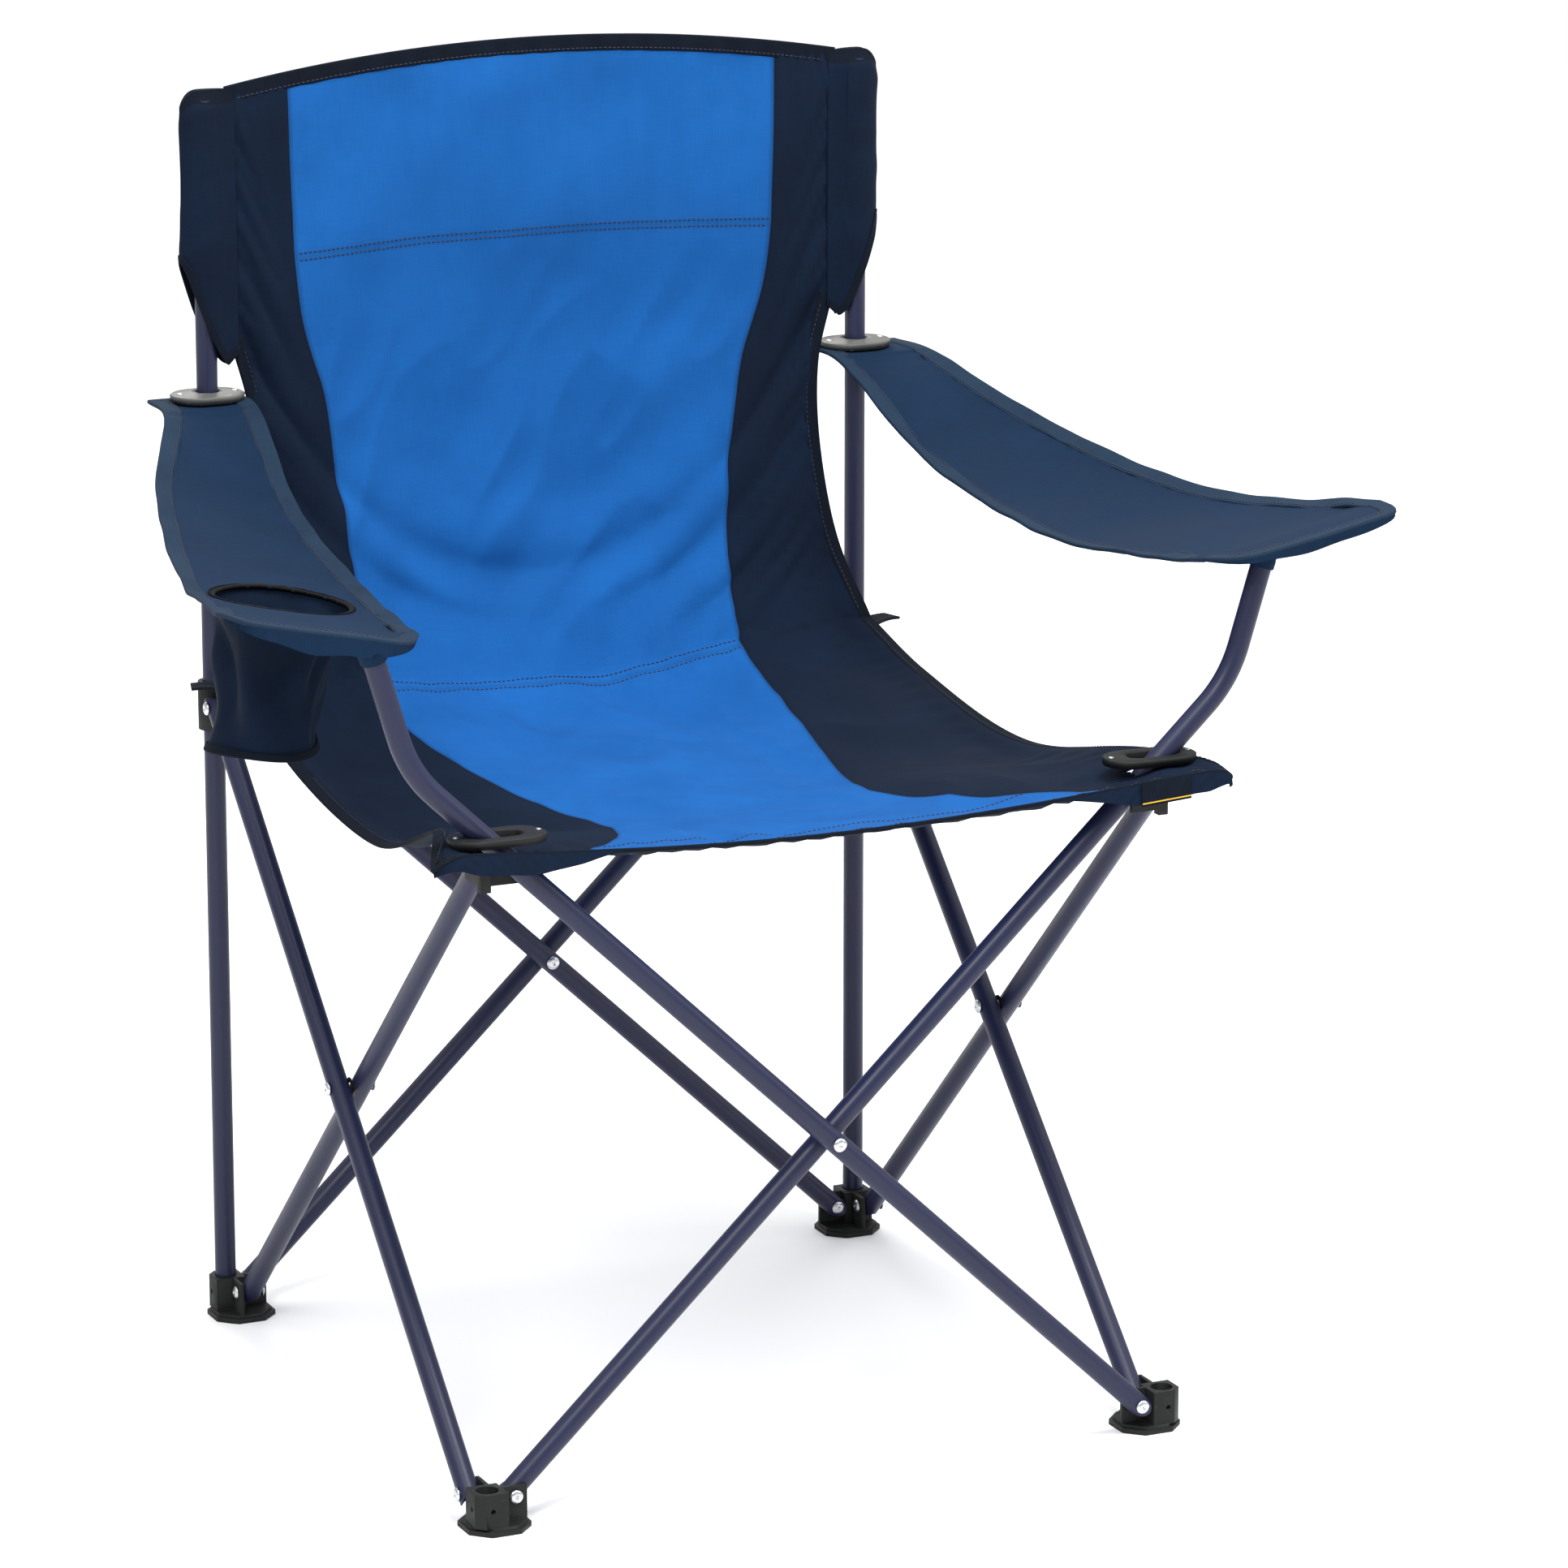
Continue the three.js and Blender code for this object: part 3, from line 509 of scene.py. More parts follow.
STITCH_LENGTH = 2.5 * MM
STITCH_PITCH = 3.6 * MM
STITCH_RADIUS = 0.5 * MM
# Part of the length, share of the radius and height in radii at each ring of a stitch.
STITCH_SHAPE = [(0, 0.35, -0.4), (0.2, 1, 0.3), (0.8, 1, 0.3), (1, 0.35, -0.4)]


def stitches(piece, path, normals, slot, lift=CLOTH):
    """Short threads along a path, lying on the cloth."""
    path = np.asarray(path, float)
    reached = distances(path)
    turns = ring_turns(5)

    def at(values, distance):
        return np.array([np.interp(distance, reached, values[:, k]) for k in range(3)])

    for start in np.arange(STITCH_PITCH, reached[-1] - STITCH_PITCH, STITCH_PITCH):
        first, last = at(path, start), at(path, start + STITCH_LENGTH)
        up = unit(at(normals, start))
        along = unit(last - first)
        side = np.cross(up, along)
        rings, flat = [], []
        for part, size, height in STITCH_SHAPE:
            centre = first + (last - first) * part + up * (lift + STITCH_RADIUS * height)
            out = [side * math.cos(a) + up * math.sin(a) for a in turns]
            rings.append([centre + o * STITCH_RADIUS * size for o in out])
            flat.append(out)
        piece.add_tube(rings, flat, slot)


def stand_in(piece, node, body):
    """Builds a piece in the place of a CAD node, riding a body."""
    made = piece.build()
    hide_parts(node)
    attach(made, body)
    return made


def lathe(piece, profile, base, axis, sides, slot):
    """Turns a profile [(radius, height), ...] about an axis through base; it starts and ends on the axis."""
    axis = unit(axis)
    across = unit(np.cross(axis, [0.3, 0.5, 0.81]))
    other = np.cross(axis, across)
    turns = ring_turns(sides)
    profile = np.array(profile, float)
    slope = np.gradient(profile, axis=0)
    lean = unit(np.stack([slope[:, 1], -slope[:, 0]], axis=1))
    rings, flat = [], []
    for (radius, height), (out, up) in zip(profile, lean):
        circle = np.array([across * math.cos(a) + other * math.sin(a) for a in turns])
        rings.append(np.asarray(base) + axis * height + circle * max(radius, 1e-6))
        flat.append(unit(circle * out + axis * up))
    piece.add_tube(rings, flat, slot, caps=False)


# ---- cloth simulation ----
CLOTH_FRAMES = 26
CLOTH_STIFFNESS = 12.0
CLOTH_BENDING = 0.4
CLOTH_MASS = 0.25  # kg at each point


def settle(grid, pinned, swell, cap):
    """Lets a grid of cloth hang by its own weight from its pinned points; no point moves further than cap."""
    rows, columns = grid.shape[:2]
    index = np.arange(rows * columns).reshape(rows, columns)
    faces = np.stack([index[:-1, :-1], index[:-1, 1:], index[1:, 1:], index[1:, :-1]], axis=-1).reshape(-1, 4)
    mesh = bpy.data.meshes.new("settling")
    mesh.from_pydata(grid.reshape(-1, 3).tolist(), [], faces.tolist())
    hung = new_object("settling", mesh)
    scene = bpy.context.scene
    group = hung.vertex_groups.new(name="pinned")
    group.add([int(i) for i in index[pinned]], 1.0, "REPLACE")
    modifier = hung.modifiers.new("cloth", "CLOTH")
    settings = modifier.settings
    settings.quality = 6
    settings.mass = CLOTH_MASS
    settings.tension_stiffness = CLOTH_STIFFNESS
    settings.compression_stiffness = CLOTH_STIFFNESS
    settings.shear_stiffness = CLOTH_STIFFNESS / 2
    settings.bending_stiffness = CLOTH_BENDING
    settings.vertex_group_mass = "pinned"
    settings.shrink_min = -swell
    modifier.point_cache.frame_start = 1
    modifier.point_cache.frame_end = CLOTH_FRAMES
    for number in range(1, CLOTH_FRAMES + 1):
        scene.frame_set(number)
    settled = hung.evaluated_get(bpy.context.evaluated_depsgraph_get()).data
    found = np.empty(rows * columns * 3)
    settled.vertices.foreach_get("co", found)
    scene.frame_set(1)
    bpy.data.objects.remove(hung)
    bpy.data.meshes.remove(mesh)
    moved = found.reshape(grid.shape) - grid
    size = np.linalg.norm(moved, axis=-1, keepdims=True)
    return grid + moved * cap * np.tanh(size / cap) / np.maximum(size, 1e-9)


# ---- cloth pieces ----
def cloth_sheet(piece, grid, cloth, column_slots, seam, normals, hole=None, lift=None):
    """Two faces and a rim for a grid of cloth. column_slots gives each column of faces its material."""
    rows, columns = grid.shape[:2]
    index = np.arange(rows * columns).reshape(rows, columns)
    quads = np.stack([index[:-1, :-1], index[1:, :-1], index[1:, 1:], index[:-1, 1:]], axis=-1)
    slots = np.broadcast_to(np.asarray(column_slots), quads.shape[:2])
    keep = np.ones(quads.shape[:2], bool)
    if hole is not None:
        middle = (grid[:-1, :-1] + grid[1:, 1:] + grid[1:, :-1] + grid[:-1, 1:]) / 4
        keep = ~hole(middle)
    quads, slots = quads[keep], slots[keep]
    raised = CLOTH + (0 if lift is None else lift[..., None])
    top = (grid + normals * raised).reshape(-1, 3)
    bottom = (grid - normals * CLOTH).reshape(-1, 3)
    flat = normals.reshape(-1, 3)
    piece.add(top, quads, slots, flat[quads], cloth, seam)
    piece.add(bottom, quads[:, ::-1], slots, -flat[quads[:, ::-1]], cloth, seam)
    edges = {}
    for quad, slot in zip(quads, slots):
        for a, b in zip(quad, np.roll(quad, -1)):
            edges[(a, b)] = slot
    rim = [(a, b, slot) for (a, b), slot in edges.items() if (b, a) not in edges]
    for a, b, slot in rim:
        corners = np.array([top[a], bottom[a], bottom[b], top[b]])
        out = unit(np.cross(corners[1] - corners[0], corners[3] - corners[0]))
        piece.add(corners, [[0, 1, 2, 3]], slot, np.tile(out, (4, 1)))


def walked(grid):
    """Distances along a grid's columns and rows, as cloth coordinates that don't stretch where it curves."""
    middle = grid.shape[1] // 2
    down = distances(grid[:, middle])
    across = np.cumsum(np.linalg.norm(np.diff(grid, axis=1), axis=2), axis=1)
    across = np.concatenate([np.zeros((len(grid), 1)), across], axis=1)
    across = across - across[:, middle : middle + 1]
    return np.stack([across, np.broadcast_to(down[:, None], across.shape), np.zeros_like(across)], axis=-1)


NAVY_COLUMNS = 12
BLUE_COLUMNS = 44
BACK_ROWS = 64
SEAT_ROWS = 60
SEAT_BEND = 1.5  # power of the sag across the seat; 1 is a parabola, and more runs out softly at the edges


def hung_rows(left, right, middle, blue, ts, power):
    """Rows of the hanging sheet; columns meet the edges of the blue panel all the way down."""
    lefts, rights, middles = spline(left, ts), spline(right, ts), spline(middle, ts)
    halves = share(blue, ts)
    side = np.linspace(1, 0, NAVY_COLUMNS, endpoint=False)
    rows = []
    for at_left, at_right, at_middle, half, bend in zip(lefts, rights, middles, halves, power):
        outer = half + (1 - half) * side
        a = np.concatenate([-outer, np.linspace(-half, half, BLUE_COLUMNS + 1), outer[::-1]])
        edge = np.where(a[:, None] < 0, at_left, at_right)
        w = ((1 - a**2) ** bend)[:, None]
        row = edge * (1 - w) + at_middle * w
        row[:, 0] = a * edge[:, 0]
        rows.append(row)
    return np.array(rows)


def main_sheet():
    """The back and seat as one hung and refined sheet, and the row where each of its parts starts."""
    back_t = np.linspace(0, 1, BACK_ROWS + 1)
    fold_row = round(SEAT_ROWS * SEAT_FOLD)
    band_row = round(SEAT_ROWS * SEAT_BAND)
    part_rows = [0, fold_row, band_row, SEAT_ROWS]
    seat_t = np.interp(np.arange(SEAT_ROWS + 1), part_rows, [0, SEAT_FOLD, SEAT_BAND, 1])
    back_bend = 1 + (SEAT_BEND - 1) * ease((back_t - 0.6) / 0.4)
    seat_bend = np.full(len(seat_t), SEAT_BEND)
    back = hung_rows(BACK_EDGE, BACK_EDGE, BACK_MIDDLE, BLUE_BACK, back_t, back_bend)
    seat = hung_rows(SEAT_LEFT_EDGE, SEAT_RIGHT_EDGE, SEAT_MIDDLE, BLUE_SEAT, seat_t, seat_bend)
    sheet = np.concatenate([back, seat[1:]])
    pinned = np.zeros(sheet.shape[:2], bool)
    pinned[0] = pinned[-1] = True
    pinned[:, :2] = pinned[:, -2:] = True
    pinned[BACK_ROWS] = True
    sheet = droop_corners(refine(settle(sheet, pinned, swell=0.012, cap=7 * MM)))
    starts = [0] + [2 * (BACK_ROWS + row) for row in part_rows]
    return add_creases(sheet), starts


CORNER_FROM = 272 * MM  # where the stiff plates end
CORNER_WIDTH = 30 * MM
CORNER_FADE = 60 * MM  # length over which the droop sets in
DROOP_FROM = -150 * MM  # where it sets in, from the back to the front
PULL_FROM = -215 * MM  # where the corners begin to be pulled back


def droop_corners(sheet):
    """The front corners hang down beyond the stiff plates around their slots."""
    x, y = sheet[..., 0], sheet[..., 1]
    beyond = np.clip((np.abs(x) - CORNER_FROM) / CORNER_WIDTH, 0, 1)
    near_front = ease((DROOP_FROM - y) / CORNER_FADE)
    at_front = ease((PULL_FROM - y) / CORNER_FADE)
    inwards = -np.sign(x) * 12 * MM * beyond**2 * near_front
    backwards = 16 * MM * beyond**2.5 * at_front
    upwards = -13 * MM * beyond**1.4 * near_front
    return sheet + np.stack([inwards, backwards, upwards], axis=-1)


HEADREST_ROW = 15.5  # of the unrefined rows, where the back is sewn across
DENT_SIZE = 85 * MM
DENT_HEIGHT = 5.5 * MM
RIDGE_SIZE = 52 * MM
RIDGE_HEIGHT = 6.5 * MM
PUCKER_SIZE = 12 * MM
PUCKER_HEIGHT = 0.6 * MM
PUCKER_ROWS = 3.0  # how far from a seam the puckers reach


def add_creases(sheet):
    """Soft dents and leaning creases, fading out at the held edges, and small puckers beside the seams."""
    normals = grid_normals(sheet)
    rows, columns = sheet.shape[:2]
    down = np.linspace(0, 1, rows)[:, None]
    across = np.linspace(-1, 1, columns)[None]
    still = (1 - across**8) * ease(down / 0.03) * ease((1 - down) / 0.03)
    leaning = sheet @ np.array([[0.8, 0, 0.35], [0, 0.6, 0], [-0.45, 0, 0.75]])
    dents = ripple(leaning, DENT_SIZE, 1)
    ridges = 0.5 - np.abs(ripple(leaning * [1.4, 1, 0.6], RIDGE_SIZE, 2))
    height = still * (DENT_HEIGHT * dents + RIDGE_HEIGHT * ridges * ease((down - 0.1) / 0.15))
    row = down * rows / 2
    near_seams = sum(np.exp(-(((row - seam) / PUCKER_ROWS) ** 2)) for seam in (HEADREST_ROW, BACK_ROWS))
    pucker = ripple(sheet * [1, 0.2, 0.2], PUCKER_SIZE, 3)
    height = height + still * near_seams * PUCKER_HEIGHT * pucker
    return sheet + normals * height[..., None]


ROW_SEAM_REACH = 1.2  # refined rows on each side of a seam across
ROW_SEAM_SHADE = 0.35
COLUMN_SEAM_REACH = 0.8  # refined columns on each side of a seam down


def seam_shade(shape, rows_at, columns_at):
    """How close each point is to a seam, from 0 to 1, for the painted shade that darkens the cloth along a
    seam.
    """
    rows, columns = shape[:2]
    r = np.arange(rows)[:, None]
    c = np.arange(columns)[None]
    shade = np.zeros((rows, columns))
    for at in rows_at:
        shade = np.maximum(shade, np.clip(1 - np.abs(r - at) / ROW_SEAM_REACH, 0, 1) * ROW_SEAM_SHADE)
    for at in columns_at:
        shade = np.maximum(shade, np.clip(1 - np.abs(c - at) / COLUMN_SEAM_REACH, 0, 1))
    return shade


def row_path(grid, normals, row):
    """Points along the blue panel's part of a row, which may fall between two rows."""
    low = int(row)
    part = row - low
    line = grid[low] * (1 - part) + grid[low + 1] * part
    up = normals[low]
    columns = slice(2 * NAVY_COLUMNS, 2 * (NAVY_COLUMNS + BLUE_COLUMNS) + 1)
    return line[columns], up[columns]


def in_arm_slot(points):
    """True inside the slots of the front corners, where the arm tubes come through."""
    x, y = points[..., 0], points[..., 1]
    reach = (np.abs(x) > SLOT_REACH[0]) & (np.abs(x) < SLOT_REACH[1] - 3 * MM)
    line = np.where(x > 0, -INNER_PLANE, -OUTER_PLANE)
    return reach & (np.abs(y - line) < SLOT_WIDTH / 2 + 1 * MM)


def bind(piece, path, up, seed, width, height=1.5 * MM):
    """Binding folded round an edge of the cloth that is on the left of the path, and its stitches."""
    swept(path, up, tape_profile(width, height), piece, 0, wobble=0.03, seed=seed)
    inset = path + np.cross(up, unit(np.gradient(path, axis=0))) * (width - 2.2 * MM)
    stitches(piece, inset[2:-2], up[2:-2], 1, lift=height)


def edge_tape(piece, grid, normals, side, start, stop, seed, width=9 * MM):
    """Binding along the first or last column (side 0 or -1) of the grid, from one row to another."""
    turn = 1 if side == 0 else -1
    bind(piece, grid[start : stop + 1, side][::turn], normals[start : stop + 1, side][::turn], seed, width)


def row_tape(piece, grid, normals, row, seed, width=9 * MM):
    """Binding along the first or last row of the grid."""
    turn = -1 if row == 0 else 1
    bind(piece, grid[row][::turn], normals[row][::turn], seed, width)


def fold_across(piece):
    """Gives a piece its own copy of its mesh."""
    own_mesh(piece)


# Rows of stitching across each part, in refined rows from where the part starts.
STITCHED_ROWS = {
    "back_cloth": (2 * HEADREST_ROW - 0.65, 2 * HEADREST_ROW + 0.65, 2 * BACK_ROWS - 2.2),
    "seat_rear_cloth": (0.8,),
    "seat_front_cloth": (),
    "seat_band_cloth": (1.0,),
}
SLEEVE_ROWS = 46  # refined rows at the top of the back, whose edges are inside the sleeves
OVERLAP = 0.7 * MM  # how much higher the navy sides lie than the blue panel under them


def add_trim(trim, name, sheet, normals, first, last):
    """The bound edges of one part, its rows of stitching, and what hangs at the seat's front corners."""
    free_from = first + (SLEEVE_ROWS if name == "back_cloth" else 0)
    edge_tape(trim, sheet, normals, 0, free_from, last, seed=first + 1)
    edge_tape(trim, sheet, normals, -1, free_from, last, seed=first + 2)
    if name == "back_cloth":
        row_tape(trim, sheet, normals, 0, seed=5, width=11 * MM)
    if name == "seat_band_cloth":
        row_tape(trim, sheet, normals, len(sheet) - 1, seed=9)
    for row in STITCHED_ROWS[name]:
        stitches(trim, *row_path(sheet, normals, first + row), 1)
    if name == "seat_band_cloth":
        for side in (-1, 1):
            add_skirt(trim, sheet[-1], side, 2)
        add_tag(trim, sheet[-1], 0, 3)


def build_back_and_seat():
    sheet, starts = main_sheet()
    normals = grid_normals(sheet)
    cloth = walked(sheet)
    columns = [1] * 2 * NAVY_COLUMNS + [0] * 2 * BLUE_COLUMNS + [1] * 2 * NAVY_COLUMNS
    # Painted shade along the seams across the back and down the edges of the blue panel.
    seam = seam_shade(
        sheet.shape,
        [2 * HEADREST_ROW, 2 * BACK_ROWS],
        [2 * NAVY_COLUMNS, 2 * (NAVY_COLUMNS + BLUE_COLUMNS)],
    )
    overlap = np.zeros(sheet.shape[:2])
    overlap[:, : 2 * NAVY_COLUMNS] = overlap[:, 2 * (NAVY_COLUMNS + BLUE_COLUMNS) + 1 :] = OVERLAP
    parts = [
        ("back_cloth", "back_panel", "rear_left_post"),
        ("seat_rear_cloth", "seat_rear", "seat_rear_fabric"),
        ("seat_front_cloth", "seat_front", "seat_front_fabric"),
        ("seat_band_cloth", "seat_front_band", "left_hub"),
    ]
    for (name, node, body), first, last in zip(parts, starts, starts[1:]):
        rows = slice(first, last + 1)
        piece = Piece(name, [BLUE, NAVY])
        trim = Piece(name.replace("cloth", "trim"), [BINDING, DARK_THREAD, NAVY, YELLOW_THREAD])
        hole = in_arm_slot if name == "seat_band_cloth" else None
        part = (sheet[rows], cloth[rows], columns, seam[rows], normals[rows])
        cloth_sheet(piece, *part, hole=hole, lift=overlap[rows])
        add_trim(trim, name, sheet, normals, first, last)
        cloth_piece, trim_piece = piece.build(), trim.build()
        for made in (cloth_piece, trim_piece):
            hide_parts(node)
            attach(made, body)
            fold_across(made)


def strip_solid(piece, top, drop, out, thickness, slot, hang=0.0):
    """A thin strip hanging from the line top by drop at each point, standing proud along out."""
    levels = np.linspace(0, 1, 6)
    face = np.array([top - [0, 0, 1] * (drop * v)[:, None] + out * (hang * v) for v in levels])
    back = face - out * thickness
    rings = np.concatenate([face, back[::-1]]).swapaxes(0, 1)
    outward = np.tile(out, (len(levels), len(top), 1))
    lean = np.concatenate([outward, -outward]).swapaxes(0, 1)
    piece.add_tube(rings, lean, slot)


FRONT_OUT = np.array([0, -0.96, 0.27])  # the way out of the seat's front edge
SKIRT_FROM = 150 * MM
SKIRT_DROP = 13 * MM


def add_skirt(piece, front_edge, side, slot):
    """The doubled cloth that hangs from the front edge at a corner, with a wavy lower edge."""
    chosen = front_edge[front_edge[:, 0] * side > SKIRT_FROM]
    reach = ease((np.abs(chosen[:, 0]) - SKIRT_FROM) / (75 * MM))
    reach = reach * (1 - 0.7 * ease((np.abs(chosen[:, 0]) - 262 * MM) / (32 * MM)))
    wave = ripple(chosen, 22 * MM, 31 + side) * 2.2 * MM
    top = chosen + np.array([0, -1.4 * MM, 0.4 * MM])
    drop = reach * (SKIRT_DROP + wave) + 0.5 * MM
    strip_solid(piece, top, drop, FRONT_OUT, thickness=1.2 * MM, slot=slot, hang=1.5 * MM)


TAG_SIDES = (216 * MM, 256 * MM)
TAG_HEIGHT = 17 * MM
TAG_THREAD_AT = 14.5 * MM  # down from its fold


def add_tag(piece, front_edge, black, yellow):
    """A plain woven tag folded over the front edge at the right corner, with one bright thread."""
    chosen = front_edge[(front_edge[:, 0] > TAG_SIDES[0]) & (front_edge[:, 0] < TAG_SIDES[1])]
    top = chosen + FRONT_OUT * 3.6 * MM + np.array([0, 0, 1.5 * MM])
    tag = np.full(len(top), TAG_HEIGHT)
    strip_solid(piece, top, tag, FRONT_OUT, thickness=0.9 * MM, slot=black, hang=1.0 * MM)
    line = top - [0, 0, TAG_THREAD_AT] + FRONT_OUT * 1.0 * MM
    strip_solid(piece, line, np.full(len(line), 0.9 * MM), FRONT_OUT, thickness=0.3 * MM, slot=yellow)


# ---- sleeves, tabs and plates of the back and seat ----
# Section of a sleeve, in millimetres outwards and backwards from the post, from the lip sewn on the panel.
SLEEVE_SECTION = np.array(
    [
        (-24, -2.7),
        (-16, -4.2),
        (-11, -6.6),
        (-5, -8.9),
        (0, -9.6),
        (6, -9.1),
        (12, -7.2),
        (16, -4),
        (18, 0),
        (16, 4),
        (12, 7.2),
        (6, 9.1),
        (0, 9.6),
        (-5, 8.9),
        (-11, 6),
        (-15, 2.2),
        (-15.9, 0.4),
        (-16.4, -1.5),
        (-24, -1.6),
    ]
)


SLEEVE_REACH = 18 * MM  # outwards from the post
SLEEVE_LIP = -15 * MM  # where the part sewn on the panel begins
SLEEVE_LIP_WIDTH = 9 * MM
SLEEVE_SLANT = 76 * MM  # how much higher the sleeve is cut at its outer side
SLEEVE_LIP_RISE = 8 * MM
SLEEVE_ROUNDING = 13 * MM  # of its outer top corner
SLEEVE_PRESSED = 14 * MM  # from its top, over which it is sewn flat
SLEEVE_FLATNESS = 0.6
SLEEVE_BOUND = 3  # rows of faces at its top that the binding covers


def smooth_sleeve_section():
    outline = closed(SLEEVE_SECTION) * MM
    walk = distances(outline)
    steps = np.linspace(0, walk[-1], 97)[:-1]
    section = np.column_stack([np.interp(steps, walk, outline[:, k]) for k in (0, 1)])
    for _ in range(3):
        section = (np.roll(section, 1, axis=0) + 2 * section + np.roll(section, -1, axis=0)) / 4
    return section


def sleeve_rings(section, sign):
    """The sleeve's section at each height, from the slanted cut up to the flattened top."""
    rings = []
    for level in np.linspace(0, 1, 57):
        ring = []
        for out, back in section:
            beyond = max(0, out - SLEEVE_LIP) / (SLEEVE_REACH - SLEEVE_LIP)
            lip = max(0, SLEEVE_LIP - out) / SLEEVE_LIP_WIDTH
            bottom = SLEEVE_BOTTOM + SLEEVE_SLANT * beyond**1.5 + SLEEVE_LIP_RISE * lip
            top = SLEEVE_TOP - SLEEVE_ROUNDING * max(0, out / SLEEVE_REACH) ** 3
            z = bottom + (top - bottom) * level
            flat = 1 - SLEEVE_FLATNESS * ease((z - top + SLEEVE_PRESSED) / SLEEVE_PRESSED)
            x, y = POST_AT + out * (0.9 + 0.1 * flat), POST_AT + back * flat
            wave = noise.noise(Vector((out * 25 + sign * 9, back * 30, z * 26)))
            fine = noise.noise(Vector((out * 60 + sign * 4, back * 70, z * 60)))
            push = (1.5 * wave + 0.5 * fine) * MM * (out > -10 * MM) * flat
            ring.append((sign * (x + push * out / SLEEVE_REACH), y + push * np.sign(back), z))
        rings.append(ring)
    rings = np.array(rings)
    return rings[:, ::-1] if sign < 0 else rings


def build_sleeve(side, body):
    """A side sleeve of the back: a flattened sock over the post, cut at a slant below."""
    piece = Piece(f"back_sleeve_cloth_{side}", [NAVY, BINDING])
    section = smooth_sleeve_section()
    rings = sleeve_rings(section, -1 if side == "left" else 1)
    outward = grid_normals(closed(rings, 1))[:, :-1]
    outward[:, 0] = unit(np.cross(np.gradient(rings, axis=0)[:, 0], rings[:, 1] - rings[:, -1]))
    centre = rings.mean(axis=1, keepdims=True)
    if np.sum(outward * (rings - centre)) < 0:
        outward = -outward
    distance = np.linalg.norm(np.diff(closed(rings, 1), axis=1), axis=2)
    across = np.concatenate([np.zeros((len(rings), 1)), np.cumsum(distance, axis=1)[:, :-1]], axis=1)
    cloth = np.stack([across, rings[..., 2], np.zeros_like(across)], axis=-1)
    bands = np.repeat([0] * (len(rings) - 1 - SLEEVE_BOUND) + [1] * SLEEVE_BOUND, len(section))
    piece.add_tube(rings, outward, bands, cloth, caps=False)
    piece.add_fan(rings[-1], False, 1)
    hem = tape_profile(5 * MM, 0.7 * MM, 0.5 * MM)
    swept(closed(rings[0]), closed(outward[0]), hem, piece, 1, caps=False)
    stand_in(piece, f"back_sleeve_{side}", body)


def stadium(half, radius, steps):
    """Points round two half circles joined by straight lines, with the way out at each."""
    points, out = [], []
    for side, turns in ((1, (-90, 90)), (-1, (90, 270))):
        for a in np.radians(np.linspace(*turns, steps)):
            points.append((side * half + radius * math.cos(a), radius * math.sin(a)))
            out.append((math.cos(a), math.sin(a)))
    return np.array(points), np.array(out)


def oval_ring(piece, centre, outer, inner, section, slot):
    """A ring between two ovals (middle, half length, radius); in its section 0 is inner and 1 is outer."""
    outlines = []
    for middle, half, radius in (inner, outer):
        rim, out = stadium(half, radius, 17)
        outlines.append(rim + [middle, 0])
    width = outer[2] - inner[2]
    profile = np.array(section, float)
    slope = np.roll(profile, -1, axis=0) - np.roll(profile, 1, axis=0)
    lean = unit(np.stack([slope[:, 1], -slope[:, 0] * width], axis=1))
    rings, flat = [], []
    for (part, height), (side, up) in zip(profile, lean):
        ring = outlines[0] * (1 - part) + outlines[1] * part
        rings.append(np.column_stack([ring, np.full(len(ring), height)]) + centre)
        flat.append(unit(np.column_stack([out * side, np.full(len(ring), up)])))
    piece.add_tube([*rings, rings[0]], [*flat, flat[0]], slot, caps=False)


SEAT_PLATE_AT = 242 * MM
SEAT_RIVET_AT = 29 * MM  # from the plate's middle


def build_seat_plate(side, body):
    """The oval plate round the slot of a front corner, with a collar down the slot and two small rivets."""
    sign = -1 if side == "left" else 1
    y = -OUTER_PLANE if side == "left" else -INNER_PLANE
    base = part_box(f"seat_plate_{side}")[0].z + 0.2 * MM
    piece = Piece(f"seat_slot_plate_{side}", [BLACK_PLASTIC, ZINC])
    section = [(0, -5 * MM), (0.08, -5 * MM), (0.1, -3 * MM), (0.97, -3 * MM), (1, 1.3 * MM), (0.9, 2.1 * MM)]
    section += [(0.55, 2.5 * MM), (0.16, 2.4 * MM), (0, 1.6 * MM)]
    centre = np.array([sign * SEAT_PLATE_AT, y, base])
    outer, inner = (0, 16 * MM, 18 * MM), (sign * 1.5 * MM, 10 * MM, 8.0 * MM)
    oval_ring(piece, centre, outer, inner, section, 0)
    for step in (-1, 1):
        spot = centre + [step * SEAT_RIVET_AT, 0, 2.3 * MM]
        lathe(piece, rivet_head(1.9 * MM, 0.9 * MM), spot, (0, 0, 1), 18, 1)
    stand_in(piece, f"seat_plate_{side}", body)


def rivet_head(radius, height):
    """A domed head: the profile starts under its rim and ends on the axis on top."""
    turns = np.linspace(0, math.pi / 2, 7)
    dome = [(radius * math.cos(a), height * (0.25 + 0.75 * math.sin(a))) for a in turns]
    return [(0, -0.2 * height), (radius, -0.2 * height), *dome]


TAB_HALF = 9 * MM
TAB_THICK = 0.9 * MM  # half the webbing's thickness
TAB_STITCHES_AT = 6.5 * MM  # from its middle


